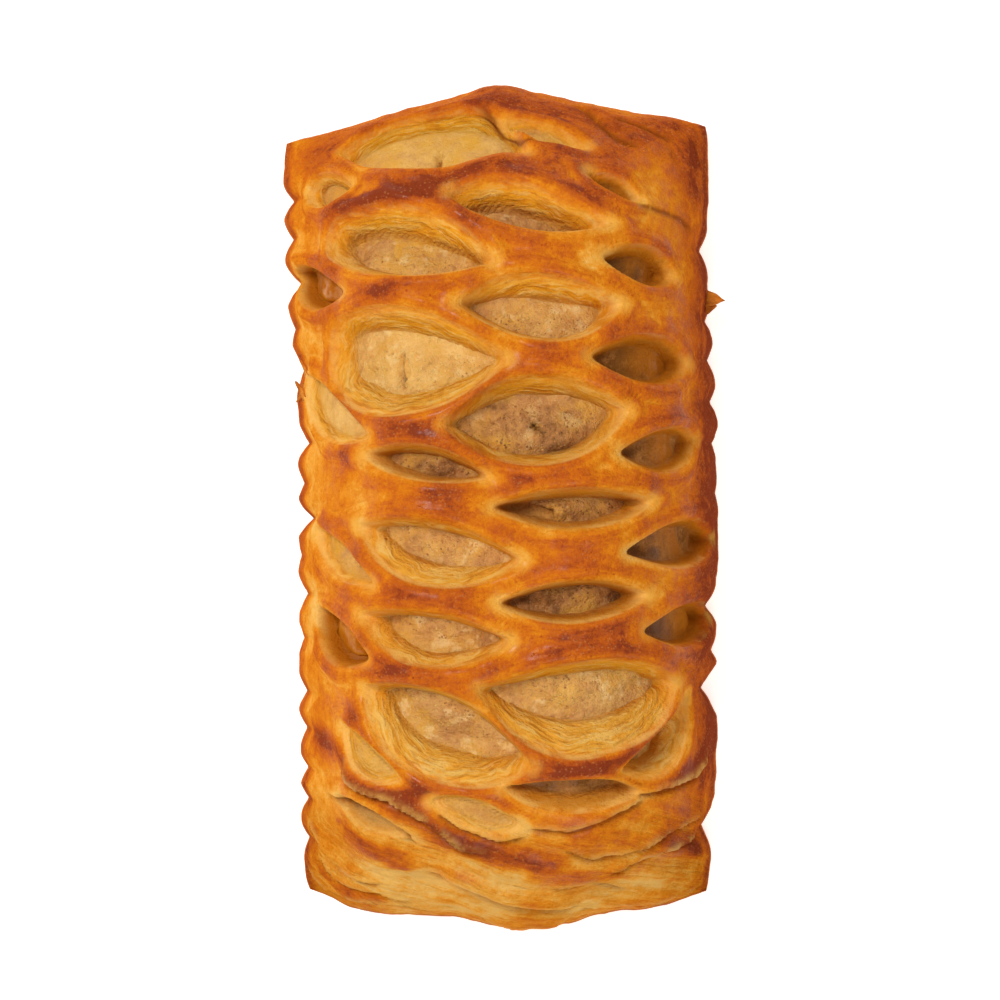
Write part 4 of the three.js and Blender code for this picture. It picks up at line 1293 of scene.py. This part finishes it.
# Amber sauce. Fat and juices of the filling have run out of the outermost slits and set there as thin
# glossy pools. Each is a low closed dome on the floor of its slit.
POOLS = [
    # middle across and along, reach along and up the slit, tilt in degrees, thickness
    (-31.2, -20.0, 6.6, 2.2, -20, 0.45),
    (-36.3, 37.4, 7.6, 2.5, -16, 0.45),
]
POOL_RINGS = 12
POOL_SEGMENTS = 56
POOL_SUNK = 0.5
POOL_RAGGED = 0.16
POOL_RIPPLE = 0.05
POOL_LIP = 0.02
AMBER_COLOURS = [
    (0.0, (0.24, 0.060, 0.003)),
    (0.45, (0.40, 0.110, 0.004)),
    (0.75, (0.52, 0.17, 0.008)),
    (1.0, (0.70, 0.32, 0.05)),
]

pool_noise = SoftNoise(31, 1.6)
vertices = []
faces = []
for pool_s, pool_t, reach_s, reach_t, tilt, thick in POOLS:
    ring_reach = np.arange(1, POOL_RINGS + 1) / POOL_RINGS
    turns = np.arange(POOL_SEGMENTS) * 2 * math.pi / POOL_SEGMENTS
    ring, turn = np.meshgrid(ring_reach, turns, indexing="ij")
    rim_round = np.stack([np.cos(turn) * 3 + pool_s, np.sin(turn) * 3 + pool_t, 0 * turn], axis=-1)
    ragged = 1 + POOL_RAGGED * pool_noise(rim_round)
    u = np.append(0, (ring * ragged * np.cos(turn)).ravel()) * reach_s
    v = np.append(0, (ring * ragged * np.sin(turn)).ravel()) * reach_t
    out = np.append(0, ring.ravel())
    from_middle, up_sheet = turned(u, v, -tilt)
    floor_points, _ = sheet_points(pool_s + from_middle, pool_t + up_sheet)
    normal = roll_normal(pool_s + from_middle, pool_t + up_sheet)
    domed = np.sqrt(np.maximum(1 - out ** 2, 0))
    ripple = POOL_RIPPLE * pool_noise(floor_points * 0.8) * (1 - out ** 4)
    top = floor_points + normal * (thick * domed + ripple)[:, None]
    under = floor_points - normal * (POOL_SUNK * domed + POOL_LIP)[:, None]
    first = sum(len(v) for v in vertices)
    count = len(out)
    inner = count - POOL_SEGMENTS
    vertices += [top, under[:inner]]
    for upper in (True, False):
        base = first if upper else first + count
        for k in range(POOL_SEGMENTS):
            after = (k + 1) % POOL_SEGMENTS
            triangle = [base, base + 1 + k, base + 1 + after]
            faces.append(triangle if upper else triangle[::-1])
            for r in range(POOL_RINGS - 1):
                low = 1 + r * POOL_SEGMENTS
                high = low + POOL_SEGMENTS
                last = r == POOL_RINGS - 2
                edge = first if last else base
                quad = [base + low + k, edge + high + k, edge + high + after, base + low + after]
                faces.append(quad if upper else quad[::-1])
sauce = mesh_piece("amber_sauce", np.concatenate(vertices), faces)

sauce_look, tree = new_look("amber_sauce")
place = tree.object_place()
thinned = tree.noise(place, 260.0, 4.0, 0.6)
bubbles = tree.ease(tree.cells(place, 900.0), 0.35, 0.1)
tree.surface({
    "Base Color": tree.ramp(thinned * 2.0 - 0.5, AMBER_COLOURS),
    "Roughness": tree.ease(thinned, 0.3, 0.7) * 0.2 + 0.3,
    "IOR": 1.05,
    "Subsurface Weight": 0.3,
    "Subsurface Radius": (1.0, 0.5, 0.15),
    "Subsurface Scale": 0.0015,
    "Coat Weight": tree.ease(thinned, 0.5, 0.6) * 0.4,
    "Coat Roughness": 0.1,
    "Normal": tree.bump(thinned * 0.0002 + bubbles * 0.00004),
})
sauce.data.materials.append(sauce_look)
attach(sauce, "root")

# Loose flakes. Thin shards of the outermost layer have sprung off the long edges: two stand out as one
# spike at the right, four lie crinkled at the left. Each is a thin curled closed sheet.
FLAKES = [
    # place across and along, heading in degrees, length, half width, lift of its tip, curl
    (46.5, 34.6, -8, 2.9, 1.1, 0.4, 0.3),
    (46.8, 33.0, 10, 1.8, 0.8, 0.3, 0.2),
    (-45.5, 20.8, 200, 3.0, 0.9, 0.7, 0.3),
    (-43.5, 18.6, 160, 3.4, 1.0, 0.6, 0.35),
    (-44.5, 22.6, 120, 2.6, 0.8, 0.6, 0.3),
    (-41.5, 20.4, 230, 3.0, 1.0, 0.5, 0.3),
]
FLAKE_LONG = 13
FLAKE_WIDE = 7
FLAKE_THICK = 0.28
FLAKE_RAGGED = 0.5
FLAKE_TIP_WIDTH = 0.04
FLAKE_TIP_THIN = 0.8
FLAKE_ROOT_SUNK = 0.35
FLAKE_COLOURS = [
    (0.0, (0.84, 0.42, 0.08)),
    (0.5, (0.62, 0.19, 0.015)),
    (1.0, (0.30, 0.06, 0.008)),
]

vertices = []
faces = []
for flake_s, flake_t, heading, length, half, lift, curl in FLAKES:
    u, v = np.meshgrid(np.linspace(0, 1, FLAKE_LONG), np.linspace(-1, 1, FLAKE_WIDE))
    angle = math.radians(heading)
    origin = sheet_points(np.array([flake_s]), np.array([flake_t]))[0][0]
    up = roll_normal(np.array([flake_s]), np.array([flake_t]))[0]
    ahead = np.array([math.cos(angle), math.sin(angle), 0.0])
    if flake_s < 0:
        ahead = ahead - up * (ahead @ up)
        ahead /= np.linalg.norm(ahead)
    else:
        up = np.array([0.0, 0.0, 1.0])
    sideways = np.cross(up, ahead)
    jagged = 1 + FLAKE_RAGGED * pool_noise(np.stack([u * 4 + flake_t, v * 0 + flake_s, 0 * u], axis=-1))
    spread = half * (1 - (1 - FLAKE_TIP_WIDTH) * u ** 1.6) * jagged * v
    rise = lift * u ** 2 + curl * v ** 2 - FLAKE_ROOT_SUNK * (1 - u)
    sheet = origin + ahead * (length * u)[..., None] + sideways * spread[..., None] + up * rise[..., None]
    half_thick = (FLAKE_THICK / 2 * (1 - FLAKE_TIP_THIN * u ** 3))[..., None]
    first = sum(len(v) for v in vertices)
    count = u.size
    vertices += [(sheet + up * half_thick).reshape(-1, 3), (sheet - up * half_thick).reshape(-1, 3)]
    top = np.array(grid_faces(*u.shape))
    faces += (top + first).tolist()
    faces += (top[:, ::-1] + first + count).tolist()
    loop = edge_walk(FLAKE_LONG, FLAKE_WIDE)
    for k, here in enumerate(loop):
        after = loop[(k + 1) % len(loop)]
        faces.append([first + after, first + here, first + count + here, first + count + after])
flakes = mesh_piece("loose_flakes", np.concatenate(vertices), faces)

flake_look, tree = new_look("flake")
place = tree.object_place()
scorched = tree.noise(place, 500.0, 4.0, 0.6)
tree.surface({
    "Base Color": tree.ramp(scorched * 2.0 - 0.5, FLAKE_COLOURS),
    "Roughness": tree.ease(scorched, 0.3, 0.7) * 0.25 + 0.4,
    "IOR": 1.2,
    "Normal": tree.bump(scorched * 0.0003),
})
flakes.data.materials.append(flake_look)
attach(flakes, "root")

# Table and light: a plain white table, a large soft light from the far left, a weaker one from the
# near side, and a camera that looks straight down, as the photograph does. Places are in metres.
TABLE_HALF = 2
TABLE_WHITE = (0.95, 0.95, 0.95, 1)
TABLE_GLOW = 0.55
WORLD_COLOUR = (1.0, 0.985, 0.96, 1)
WORLD_GLOW = 0.34
CAMERA_HEIGHT = 0.48
CAMERA_X = -0.0001
CAMERA_Y = 0.00125
SENSOR = 36
IMAGE_SIDE = 1000
FOCAL_PIXELS = 3050

table_mesh = bpy.data.meshes.new("table")
corners = [(-TABLE_HALF, -TABLE_HALF, 0), (TABLE_HALF, -TABLE_HALF, 0), (TABLE_HALF, TABLE_HALF, 0)]
table_mesh.from_pydata(corners + [(-TABLE_HALF, TABLE_HALF, 0)], [], [(0, 1, 2, 3)])
table = in_scene("table", table_mesh)
white, tree = new_look("white_table")
tree.surface({
    "Base Color": TABLE_WHITE,
    "Roughness": 0.9,
    "Specular IOR Level": 0.0,
    "Emission Color": (1, 1, 1, 1),
    "Emission Strength": TABLE_GLOW,
})
table_mesh.materials.append(white)

world = bpy.data.worlds.new("studio")
world.use_nodes = True
tree = NodeTree(world.node_tree)
glow = tree.node("ShaderNodeBackground", {}, {"Color": WORLD_COLOUR, "Strength": WORLD_GLOW})
tree.node("ShaderNodeOutputWorld", {}, {"Surface": glow})
bpy.context.scene.world = world


def soft_light(name, place, size, power):
    """A round area light that points at the middle of the table."""
    lamp = bpy.data.lights.new(name, "AREA")
    lamp.shape = "DISK"
    lamp.size = size
    lamp.energy = power
    light = in_scene(name, lamp)
    light.location = place
    light.rotation_euler = (-Vector(place)).to_track_quat("-Z", "Y").to_euler()


soft_light("key", (-0.5, 0.45, 1.1), 0.45, 10.2)
soft_light("fill", (0.2, -0.7, 0.9), 0.7, 4.4)

camera_data = bpy.data.cameras.new("camera")
camera_data.sensor_width = SENSOR
camera_data.lens = FOCAL_PIXELS * SENSOR / IMAGE_SIDE
camera_data.clip_start = 0.01
camera_data.clip_end = 10
camera = in_scene("camera", camera_data)
camera.location = (CAMERA_X, CAMERA_Y, CAMERA_HEIGHT)
bpy.context.scene.camera = camera
bpy.context.scene.view_settings.view_transform = "Standard"
